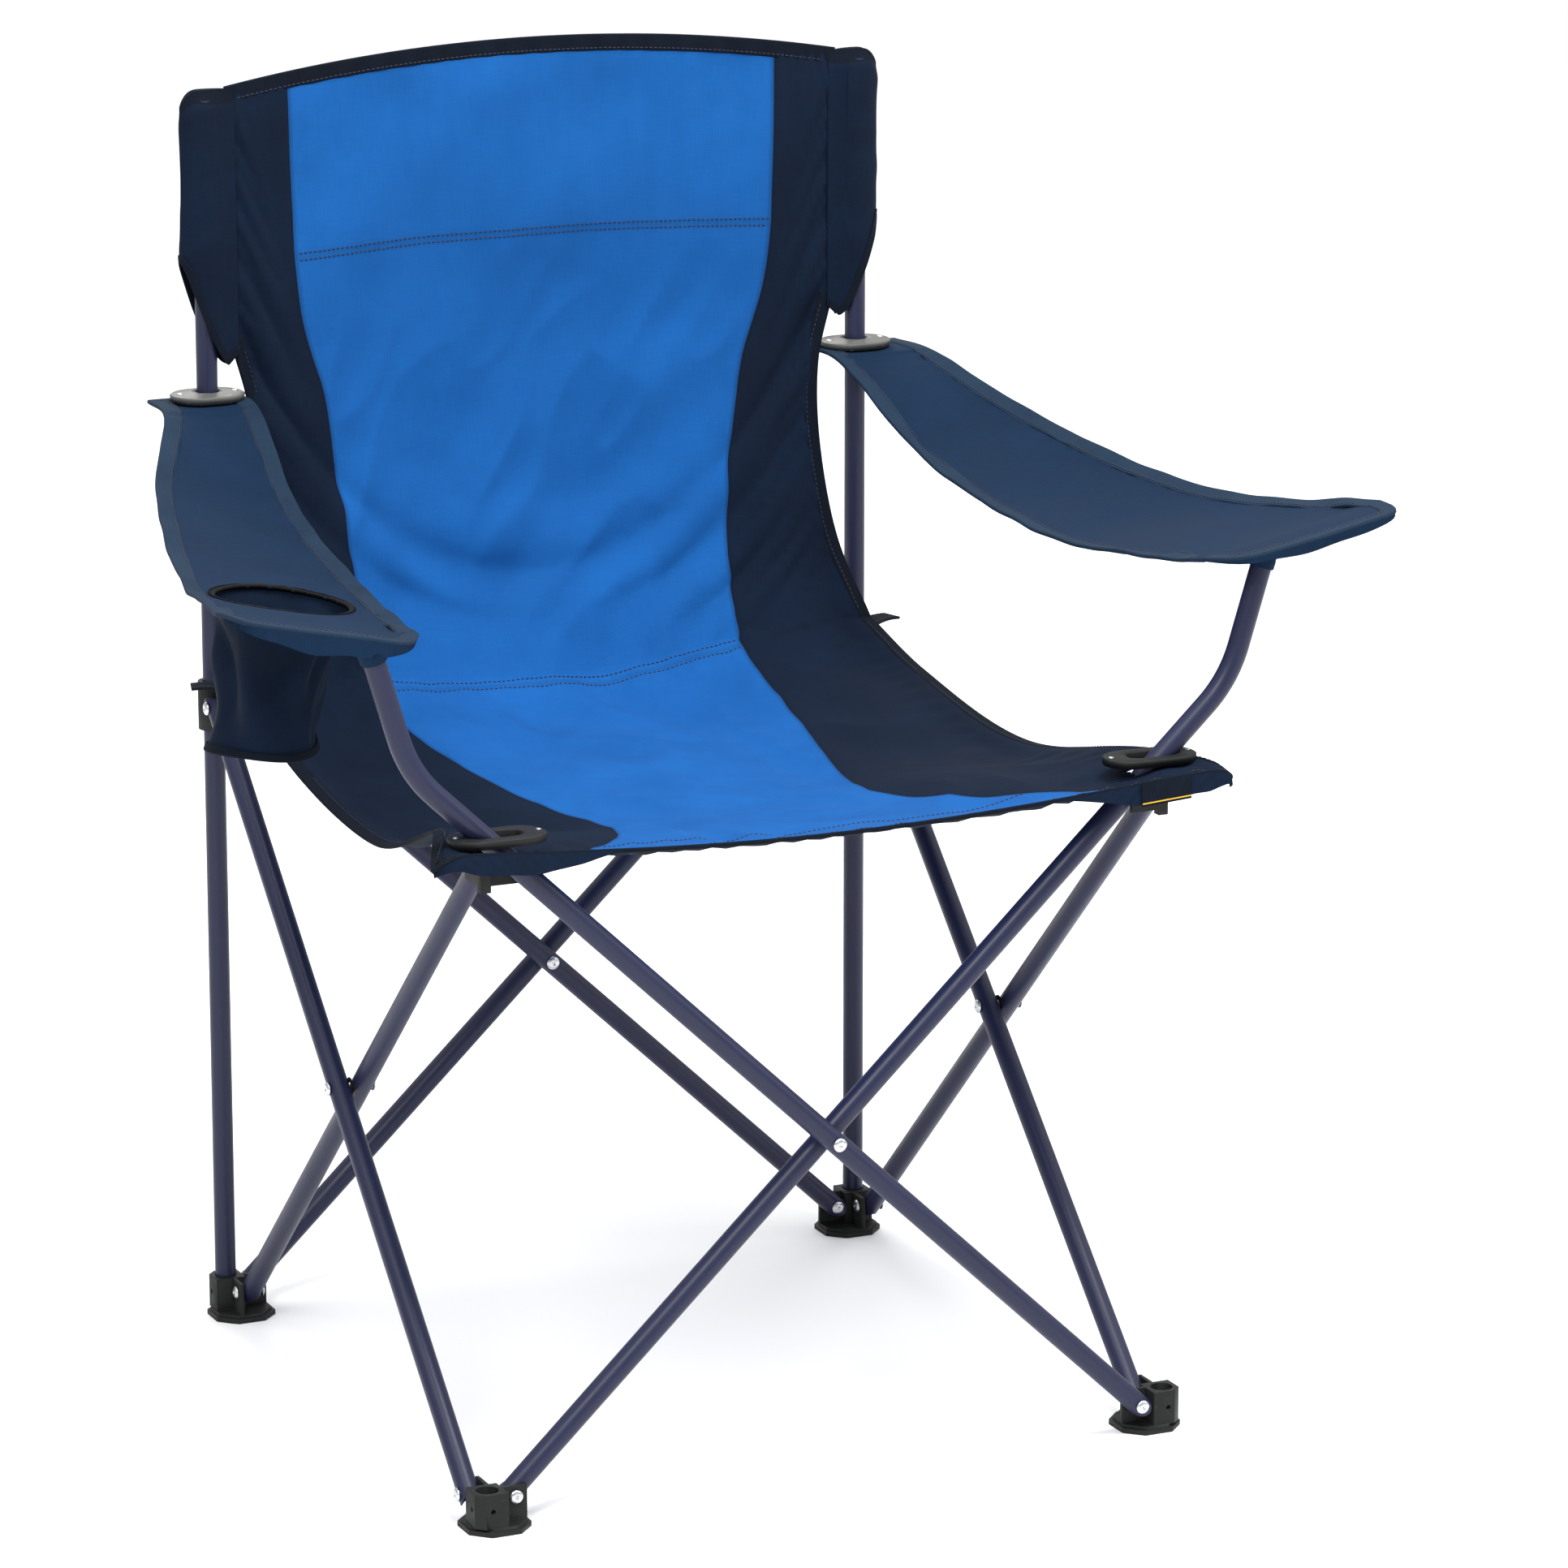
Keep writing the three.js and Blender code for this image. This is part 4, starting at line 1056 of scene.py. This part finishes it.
def build_tab(side, body):
    """The webbing tab from a rear corner of the seat to its slider."""
    sign = -1 if side == "left" else 1
    route = [(232, 200, 476.5), (244, 214, 475.5), (256, 225, 475), (266, 232, 474.5), (275, 235, 474)]
    centre = spline([(sign * x, y, z) for x, y, z in route], np.linspace(0, 1, 21))
    piece = Piece(f"seat_corner_tab_{side}", [BINDING, DARK_THREAD])
    flat_part = TAB_HALF * 0.96
    profile = [(-TAB_HALF, 0), (-flat_part, TAB_THICK), (flat_part, TAB_THICK), (TAB_HALF, 0)]
    profile += [(flat_part, -TAB_THICK), (-flat_part, -TAB_THICK)]
    up = np.tile([0, 0, 1.0], (len(centre), 1))
    swept(centre, up, profile, piece, 0)
    for offset in (-TAB_STITCHES_AT, TAB_STITCHES_AT):
        line = centre + np.cross(up, unit(np.gradient(centre, axis=0))) * offset
        stitches(piece, line, up, 1, lift=TAB_THICK)
    stand_in(piece, f"seat_tab_{side}", body)


# ---- armrests ----
ARM_COLUMNS = 20
ARM_ROWS = 72
ARM_ROUNDING = 0.045  # of the front corners, as a share of the strip's length
ARM_BELLY = 4 * MM  # how far the right strip sags
ARM_EDGE_WAVE = 2.2 * MM
ARM_WAVE = 1.8 * MM


def arm_grid(side):
    """The armrest strip as one hung sheet, mirrored for the left; its columns run from the seat outwards."""
    fold_row = round(ARM_ROWS * ARM_FOLD)
    ts = np.interp(np.arange(ARM_ROWS + 1), [0, fold_row, ARM_ROWS], [0, ARM_FOLD, 1])
    a = np.linspace(0, 1, ARM_COLUMNS + 1)
    corner = np.clip((np.abs(2 * a - 1) - 0.6) / 0.4, 0, 1) ** 2.6 * ARM_ROUNDING
    inner, outer = (ARM_LEFT_INNER, ARM_LEFT_OUTER) if side == "left" else (ARM_INNER, ARM_OUTER)
    strip = []
    for share_across, cut in zip(a, corner):
        along = ts - cut * np.clip((ts - ARM_FOLD) / (1 - ARM_FOLD), 0, 1)
        strip.append(spline(inner, along) * (1 - share_across) + spline(outer, along) * share_across)
    strip = np.array(strip).swapaxes(0, 1)
    middle = np.sin(math.pi * a)[None]
    belly = middle * ease((ts - 0.2) / 0.3)[:, None] * ease((1 - ts) / 0.12)[:, None]
    strip[..., 2] -= belly * (0 if side == "left" else ARM_BELLY)
    pinned = np.zeros(strip.shape[:2], bool)
    pinned[: round(ARM_ROWS * 0.25)] = True
    pinned[-4:] = True
    pinned[:, 0] = pinned[:, -1] = True
    strip = refine(settle(strip, pinned, swell=0.004, cap=3 * MM))
    normals = grid_normals(strip)
    edge = np.abs(np.linspace(-1, 1, strip.shape[1]))[None] ** 6
    seed = 11 if side == "left" else 17
    away = ease((np.linspace(0, 1, len(strip)) - 0.27) / 0.06)[:, None]
    small, large = ripple(strip, 36 * MM, seed), ripple(strip, 80 * MM, seed + 1)
    wave = away * (edge * ARM_EDGE_WAVE * small + (1 - edge) * ARM_WAVE * large)
    strip = strip + normals * wave[..., None]
    if side == "left":
        strip = strip * [-1, 1, 1]
    return strip, 2 * fold_row


POST_HOLE_RADIUS = 13 * MM


def around_post(points):
    x, y = np.abs(points[..., 0]) - POST_AT, points[..., 1] - POST_AT
    return np.hypot(x, y) < POST_HOLE_RADIUS


def in_cup(points):
    x, y = -points[..., 0] - CUP_CENTRE[0], points[..., 1] - CUP_CENTRE[1]
    return np.hypot(x, y) < CUP_RIM_RADIUS + 1 * MM


def build_armrest(side):
    sign = -1 if side == "left" else 1
    strip, fold = arm_grid(side)
    normals = grid_normals(strip) * sign
    cloth = walked(strip)
    for half, first, stop in (("rear", 0, fold), ("front", fold, len(strip) - 1)):
        rows = slice(first, stop + 1)
        turn = 1 if sign > 0 else -1
        grid, up, co = strip[rows, ::turn], normals[rows, ::turn], cloth[rows, ::turn]
        piece = Piece(f"armrest_{side}_{half}_cloth", [ARM_NAVY])
        trim = Piece(f"armrest_{side}_{half}_trim", [SLATE, DARK_THREAD, LINING, ARM_NAVY])
        hole = around_post if half == "rear" else (in_cup if side == "left" else None)
        cloth_sheet(piece, grid, co, [0] * (grid.shape[1] - 1), np.zeros(grid.shape[:2]), up, hole=hole)
        edge_tape(trim, grid, up, 0, 0, len(grid) - 1, seed=21 + first, width=12 * MM)
        edge_tape(trim, grid, up, -1, 0, len(grid) - 1, seed=22 + first, width=12 * MM)
        row_tape(trim, grid, up, 0 if half == "rear" else len(grid) - 1, seed=23, width=10 * MM)
        if half == "front":
            add_pocket(trim, side, 3)
            add_flap(trim, grid[-1], FLAP_DROP[side], 3)
            if side == "left":
                add_cup_rim(trim, grid, up, 2)
        cloth_piece, trim_piece = piece.build(), trim.build()
        for made in (cloth_piece, trim_piece):
            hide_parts(f"armrest_{side}_{half}")
            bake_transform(made)


def arm_tip(side):
    """Where the arm tube ends, and the way it points there."""
    sign = -1 if side == "left" else 1
    slope = unit([2 * PIVOT_HALF, 0, PIVOT_HIGH - PIVOT_LOW])
    lean = np.array([math.sin(ARM_TIP_LEAN), 0, math.cos(ARM_TIP_LEAN)])
    tip = np.array([PIVOT_HALF, 0, PIVOT_HIGH]) + slope * ARM_BEND + lean * ARM_TIP_LENGTH
    tip[1] = -OUTER_PLANE if side == "left" else -INNER_PLANE
    return tip * [sign, 1, 1], lean * [sign, 1, 1]


# Rings of the pocket: millimetres above the tube's tip, radius in millimetres, and depth against the radius.
POCKET_SHAPE = [(-9, 8.4, 1.0), (-8.4, 8.9, 1.0), (-4, 9.1, 1.0), (0, 9.3, 0.8), (3, 9.5, 0.8)]
POCKET_FOLDS = 0.02  # of its radius, at the top


def add_pocket(piece, side, slot):
    """The sewn pocket under the armrest that the tube's tip sits in."""
    tip, lean = arm_tip(side)
    across = unit(np.cross([0, 1.0, 0], lean))
    turns = ring_turns(32)
    lowest, highest = POCKET_SHAPE[0][0], POCKET_SHAPE[-1][0]
    rings, flat = [], []
    for level, radius, depth in POCKET_SHAPE:
        ring, out = [], []
        for a in turns:
            way = across * math.cos(a) + np.array([0, 1.0, 0]) * math.sin(a) * depth
            fold = 1 + POCKET_FOLDS * math.sin(5 * a) * (level - lowest) / (highest - lowest)
            ring.append(tip + lean * level * MM + way * radius * MM * fold)
            out.append(unit(way - lean * 0.5))
        rings.append(ring)
        flat.append(out)
    piece.add_tube(rings, flat, slot, caps=False)


FLAP_DROP = {"left": 13 * MM, "right": 7 * MM}


def add_flap(piece, front_edge, drop, slot):
    """The end of the strip, folded down over the tube's pocket."""
    a = np.linspace(0, 1, len(front_edge))
    depth = drop * np.sin(math.pi * a) ** 0.8 * (1 + 0.08 * np.sin(19 * a)) + 0.6 * MM
    strip_solid(piece, front_edge - [0, 1.0 * MM, 0], depth, np.array([0, -1.0, 0]), 1.2 * MM, slot)


def add_cup_rim(piece, grid, normals, slot):
    """The brown tape round the cup opening, following the armrest's slope."""
    path, up = [], []
    flat_points = grid.reshape(-1, 3)
    flat_normals = normals.reshape(-1, 3)
    for a in np.linspace(0, 2 * math.pi, 73):
        x = -CUP_CENTRE[0] + CUP_RIM_RADIUS * math.cos(a)
        y = CUP_CENTRE[1] + CUP_RIM_RADIUS * math.sin(a)
        distance = np.hypot(flat_points[:, 0] - x, flat_points[:, 1] - y)
        near = np.argsort(distance)[:6]
        weight = 1 / (distance[near] + 1 * MM)
        path.append((x, y, float((flat_points[near, 2] * weight).sum() / weight.sum())))
        up.append(unit((flat_normals[near] * weight[:, None]).sum(0)))
    path, up = np.array(path)[::-1], np.array(up)[::-1]
    swept(path, up, tape_profile(3.6 * MM, 1.0 * MM, 1.0 * MM), piece, slot, caps=False)


BAG_FOLDS = 0.11
BAG_CRUMPLE = 0.13
BAG_TAPER = 0.24
BAG_LEAN = 16 * MM  # how far the floor hangs outwards


def bag_rings(turns):
    """The bag's outside at each height, from its floor up to the armrest."""
    centre = np.array([-CUP_CENTRE[0], CUP_CENTRE[1]])
    inner = spline(ARM_LEFT_INNER, np.linspace(ARM_FOLD, 1, 60))
    outer = spline(ARM_LEFT_OUTER, np.linspace(ARM_FOLD, 1, 60))

    def roof(x, y):
        """Height of the armrest's underside above a point of the bag."""
        near = np.abs(inner[:, 1] - y).argmin()
        a = (abs(x) - inner[near, 0]) / (outer[near, 0] - inner[near, 0])
        return inner[near, 2] * (1 - a) + outer[near, 2] * a - 1.6 * MM

    rings = []
    for level in np.linspace(0, 1, 31):
        ring = []
        low = (1 - level) ** 1.3
        for a in turns:
            slack = math.sin(math.pi * min(1, level * 1.05))
            folds = 0.6 * math.sin(3 * a + 0.9 + level) + 0.45 * math.sin(5 * a + 2.4 * level)
            folds += 0.3 * math.sin(8 * a)
            crumple = noise.noise(Vector((2.2 * math.cos(a), 2.2 * math.sin(a), 2.5 * level)))
            inwards = BAG_FOLDS * (folds - 1.1) + BAG_CRUMPLE * (crumple - 0.5)
            radius = CUP_RADIUS * (1 - BAG_TAPER * low + inwards * slack**0.7) + 1.5 * MM
            x, y = centre + [-BAG_LEAN * low, 0] + radius * np.array([math.cos(a), math.sin(a)])
            top, bottom = roof(x, y), CUP_BOTTOM + 1.5 * MM + 2.5 * MM * math.sin(2 * a + 0.5)
            ring.append((x, y, bottom + (top - bottom) * level))
        rings.append(ring)
    return np.array(rings)


def build_cup_bag():
    """The limp bag under the left armrest: vertical folds, a sagging floor and a bound bottom edge."""
    piece = Piece("cup_bag", [NAVY, BINDING])
    turns = ring_turns(96)
    outside = bag_rings(turns)
    out = grid_normals(closed(outside, 1))[:, :-1]
    from_axis = outside - outside.mean(1, keepdims=True)
    out = np.where(np.sum(out * from_axis, axis=2, keepdims=True) < 0, -out, out)
    inside = outside - out * 1.4 * MM
    across = np.broadcast_to(turns[None] * CUP_RADIUS, outside.shape[:2])
    cloth = np.stack([across, outside[..., 2], np.zeros_like(across)], axis=-1)
    piece.add_tube(outside, out, 0, cloth, caps=False)
    piece.add_tube(inside[:, ::-1], -out[:, ::-1], 0, cloth[:, ::-1], caps=False)
    piece.add_tube([outside[-1], inside[-1]], [out[-1], out[-1]], 0, caps=False)
    piece.add_fan(outside[0], True, 0)
    piece.add_fan(inside[0] + [0, 0, 1.5 * MM], False, 0)
    hem = tape_profile(4 * MM, 1.3 * MM, 1.3 * MM)
    swept(closed(outside[0]) + [0, 0, 1 * MM], closed(out[0]), hem, piece, 1, caps=False)
    made = stand_in(piece, "cup_holder", "left_armrest_front_fabric")
    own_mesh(made)


ARM_RIVET_AT = 20.5 * MM  # from the plate's middle


def build_arm_plate(side, body):
    """The silver-grey oval where a post comes through its armrest, with a rivet at each end."""
    low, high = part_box(f"armrest_plate_{side}")
    centre = np.array([(low.x + high.x) / 2, (low.y + high.y) / 2, low.z + 0.1 * MM])
    piece = Piece(f"post_plate_{side}", [SILVER_PLASTIC, ZINC])
    section = [(0, -3 * MM), (0.95, -3 * MM), (1, 1.1 * MM), (0.93, 2.0 * MM), (0.55, 2.4 * MM)]
    section += [(0.2, 3.4 * MM), (0, 3.2 * MM)]
    oval_ring(piece, centre, (0, 6 * MM, 21 * MM), (0, 0.2 * MM, 8.1 * MM), section, 0)
    for step in (-1, 1):
        spot = centre + [step * ARM_RIVET_AT, 0, 2.2 * MM]
        lathe(piece, rivet_head(2.2 * MM, 1.0 * MM), spot, (0, 0, 1), 18, 1)
    stand_in(piece, f"armrest_plate_{side}", body)


# ---- steel tubes and rivets ----
TUBE_SIDES = 40
TUBE_INSIDE = 14 * MM  # how far into an open end its wall is modelled


def turned(point, turns):
    """A point drawn at the front, turned clockwise by quarter turns."""
    x, y, z = point
    for _ in range(turns):
        x, y = y, -x
    return np.array([x, y, z])


def tube_rings(path, end_radii):
    """Rings along a path in a vertical plane; an end radius rounds that end, and None cuts it square."""
    path = np.asarray(path, float)
    along = unit(np.gradient(path, axis=0))
    level = unit(np.cross(path[-1] - path[0], [0, 0, 1.0]))
    turns = ring_turns(TUBE_SIDES)
    rings, flat = [], []
    for point, way in zip(path, along):
        steep = unit(np.cross(way, level))
        out = np.array([level * math.cos(a) + steep * math.sin(a) for a in turns])
        rings.append(point + out * TUBE_RADIUS)
        flat.append(out)
    rings, flat = np.array(rings), np.array(flat)
    for end, radius in zip((0, -1), end_radii):
        if radius:
            across = TUBE_RADIUS * np.sin(turns)
            reach = np.sqrt(radius**2 - across**2)
            way = along[end] * (-1 if end == 0 else 1)
            rings[end] = rings[end] + way * reach[:, None]
    return rings, flat


def build_tube(name, node, body, path, end_radii):
    rings, flat = tube_rings(path, end_radii)
    piece = Piece(name, [PAINT, BLACK_PLASTIC])
    piece.add_tube(rings, flat, 0, caps=False)
    for end in (0, -1):
        ring = rings[end]
        out = flat[end]
        way = unit(ring.mean(0) - rings[1 if end == 0 else -2].mean(0))
        lip = ring - out * TUBE_WALL
        deep = lip - way * TUBE_INSIDE
        chain = [ring, lip, deep]
        normals = [np.tile(way, (TUBE_SIDES, 1)), -out, -out]
        if end == 0:
            chain, normals = [c[::-1] for c in chain], [n[::-1] for n in normals]
        piece.add_tube(chain[:2], [normals[0]] * 2, 0, caps=False)
        piece.add_tube(chain[1:], normals[1:], 0, caps=False)
        piece.add_fan(chain[2], False, 1)
    stand_in(piece, node, body)


SIDES = ["front", "left", "rear", "right"]
NODE_BODY = {node: body for body, nodes in frame["record"]["behaviour"]["bodies"].items() for node in nodes}


def build_cross_tubes():
    slope = unit([2 * PIVOT_HALF, 0, PIVOT_HIGH - PIVOT_LOW])
    for turns, side in enumerate(SIDES):
        for layer, direction, plane in (("outer", -1, OUTER_PLANE), ("inner", 1, INNER_PLANE)):
            low = np.array([-direction * PIVOT_HALF, -plane, PIVOT_LOW])
            high = np.array([direction * PIVOT_HALF, -plane, PIVOT_HIGH])
            path = list(np.linspace(low, high, 9))
            ends = (TUBE_END_RADIUS, TUBE_END_RADIUS)
            if side == "front":
                path += arm_run(high, slope * [direction, 1, 1], direction)
                ends = (TUBE_END_RADIUS, None)
            path = [turned(p, turns) for p in path]
            node = f"{side}_tube_{layer}"
            build_tube(f"{side}_{layer}_tube", node, NODE_BODY[node], path, ends)


def arm_run(high, slope, direction):
    """The arm part of a front tube: straight on, a rounded bend and the tip."""
    lean = np.array([direction * math.sin(ARM_TIP_LEAN), 0, math.cos(ARM_TIP_LEAN)])
    corner = high + slope * ARM_BEND
    start, stop = corner - slope * ARM_BEND_SETBACK, corner + lean * ARM_BEND_SETBACK
    ts = np.linspace(0, 1, 17)[:, None]
    bend = (1 - ts) ** 2 * start + 2 * ts * (1 - ts) * corner + ts**2 * stop
    tip = np.linspace(stop, corner + lean * ARM_TIP_LENGTH, 5)[1:]
    return [*bend, *tip]


HAIR = 1e-7  # how far a post leans at each step, because tube_rings can't tell which way is level without it


def build_posts():
    for side, sign in (("left", -1), ("right", 1)):
        low = np.array([sign * POST_AT, POST_AT, POST_BOTTOM])
        high = np.array([sign * POST_AT, POST_AT, POST_TOP])
        path = np.linspace(low, high, 5) + np.array([HAIR, 0, 0]) * np.arange(5)[:, None]
        build_tube(f"rear_post_{side}", f"post_{side}", NODE_BODY[f"post_{side}"], path, (None, None))


# Radius and height, in millimetres, of a rivet's shank, its head with a rolled rim, and the dimple on top.
RIVET_HEAD = np.array(
    [(0, -3), (2.4, -3), (2.4, 0), (4.8, 0), (4.85, 0.5), (4.5, 1.1), (3.7, 1.65), (2.6, 2.0), (1.7, 2.1)]
    + [(1.2, 1.8), (0.7, 1.35), (0, 1.2)]
)
RIVET_HEAD_ROOM = 2.2 * MM  # from the CAD rivet's end to the face that the head lies on


def build_rivets():
    """Tubular rivets: a domed head with a rolled rim and a small dimple on each end of a shank."""
    for turns, side in enumerate(SIDES):
        for place in ("centre", "foot_outer", "foot_inner", "top_outer", "top_inner"):
            node = f"{side}_rivet_{place}"
            low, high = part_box(node)
            middle = (low + high) / 2
            axis = unit(turned((0, -1, 0), turns))
            half = abs(np.array(high - low) @ axis) / 2
            piece = Piece(f"{side}_rivet_head_{place}", [ZINC])
            for way in (-1, 1):
                base = np.array(middle) + axis * way * (half - RIVET_HEAD_ROOM)
                lathe(piece, RIVET_HEAD * MM, base, axis * way, 28, 0)
            stand_in(piece, node, NODE_BODY[node])


# ---- moulded plastic: the CAD pieces, with rounded edges ----
def finish_moulded_pieces():
    for made in frame["nodes"].values():
        if made.hide_render:
            continue
        made.data.materials.clear()
        made.data.materials.append(BLACK_PLASTIC)
        made.data.polygons.foreach_set("use_smooth", np.ones(len(made.data.polygons), bool))
        weld = made.modifiers.new("weld", "WELD")
        weld.merge_threshold = 0.02 * MM
        edge = made.modifiers.new("edge", "BEVEL")
        edge.width = 0.6 * MM
        edge.segments = 2
        edge.limit_method = "ANGLE"
        edge.angle_limit = math.radians(35)
        edge.harden_normals = True


# ---- stage ----
CAMERA_TARGET = Vector((66 * MM, -30 * MM, 428 * MM))
CAMERA_AZIMUTH = math.radians(-24.56)
CAMERA_ELEVATION = math.radians(14.13)
CAMERA_DISTANCE = 4.7946
CAMERA_LENS = 158.1
SENSOR = 36.0


def aimed(name, data, place, way):
    """A camera or lamp at a place, looking along way."""
    made = new_object(name, data)
    made.location = place
    made.rotation_mode = "QUATERNION"
    made.rotation_quaternion = way.to_track_quat("-Z", "Y")
    return made


def build_camera():
    data = bpy.data.cameras.new("camera")
    data.lens = CAMERA_LENS
    data.sensor_width = SENSOR
    level = math.cos(CAMERA_ELEVATION)
    x, y = math.sin(CAMERA_AZIMUTH) * level, -math.cos(CAMERA_AZIMUTH) * level
    away = Vector((x, y, math.sin(CAMERA_ELEVATION)))
    bpy.context.scene.camera = aimed("camera", data, CAMERA_TARGET + away * CAMERA_DISTANCE, -away)


def area_light(name, place, target, size, power):
    data = bpy.data.lights.new(name, "AREA")
    data.shape = "SQUARE"
    data.size = size
    data.energy = power
    aimed(name, data, place, Vector(target) - Vector(place))


SKY_AT_HORIZON = 0.42  # the sky gets brighter upwards, so that level cloth is lighter than upright cloth
SKY_OVERHEAD = 1.34


def build_stage():
    mesh = bpy.data.meshes.new("floor")
    reach = 60.0
    corners = [(-reach, -reach, 0), (reach, -reach, 0), (reach, reach, 0), (-reach, reach, 0)]
    mesh.from_pydata(corners, [], [(0, 1, 2, 3)])
    floor = new_object("floor", mesh)
    s = Shader("pale_floor")
    place = s.node("ShaderNodeTexCoord").outputs["Object"]
    tone = s.mix(s.noise(place, 3.0, 2.0), (0.93, 0.93, 0.93, 1), (0.95, 0.95, 0.95, 1))
    s.set(Base_Color=tone, Roughness=0.9)
    mesh.materials.append(s.material)
    world = bpy.data.worlds.new("studio")
    world.use_nodes = True
    sky = world.node_tree
    way = sky.nodes.new("ShaderNodeTexCoord")
    parts = sky.nodes.new("ShaderNodeSeparateXYZ")
    strength = sky.nodes.new("ShaderNodeMapRange")
    strength.inputs["To Min"].default_value = SKY_AT_HORIZON
    strength.inputs["To Max"].default_value = SKY_OVERHEAD
    background = sky.nodes["Background"]
    background.inputs["Color"].default_value = (1, 1, 1, 1)
    sky.links.new(way.outputs["Generated"], parts.inputs["Vector"])
    sky.links.new(parts.outputs["Z"], strength.inputs["Value"])
    sky.links.new(strength.outputs["Result"], background.inputs["Strength"])
    bpy.context.scene.world = world
    area_light("key", place=(-2.4, -2.6, 3.6), target=(0, 0, 0.45), size=1.3, power=105)
    area_light("top", place=(0.3, -0.9, 3.0), target=(0, 0, 0.45), size=1.2, power=75)
    area_light("fill", place=(3.2, -1.6, 2.2), target=(0, 0, 0.45), size=2.2, power=30)
    area_light("rim", place=(0.6, 3.4, 2.8), target=(0, 0, 0.5), size=2.0, power=50)
    bpy.context.scene.view_settings.view_transform = "Standard"


build_camera()
build_back_and_seat()
for which, post in (("left", "rear_left_post"), ("right", "rear_right_post")):
    build_sleeve(which, post)
    build_seat_plate(which, f"{which}_hub")
    build_tab(which, f"{which}_slider")
    build_armrest(which)
    build_arm_plate(which, post)
build_cup_bag()
build_cross_tubes()
build_posts()
build_rivets()
finish_moulded_pieces()
build_stage()
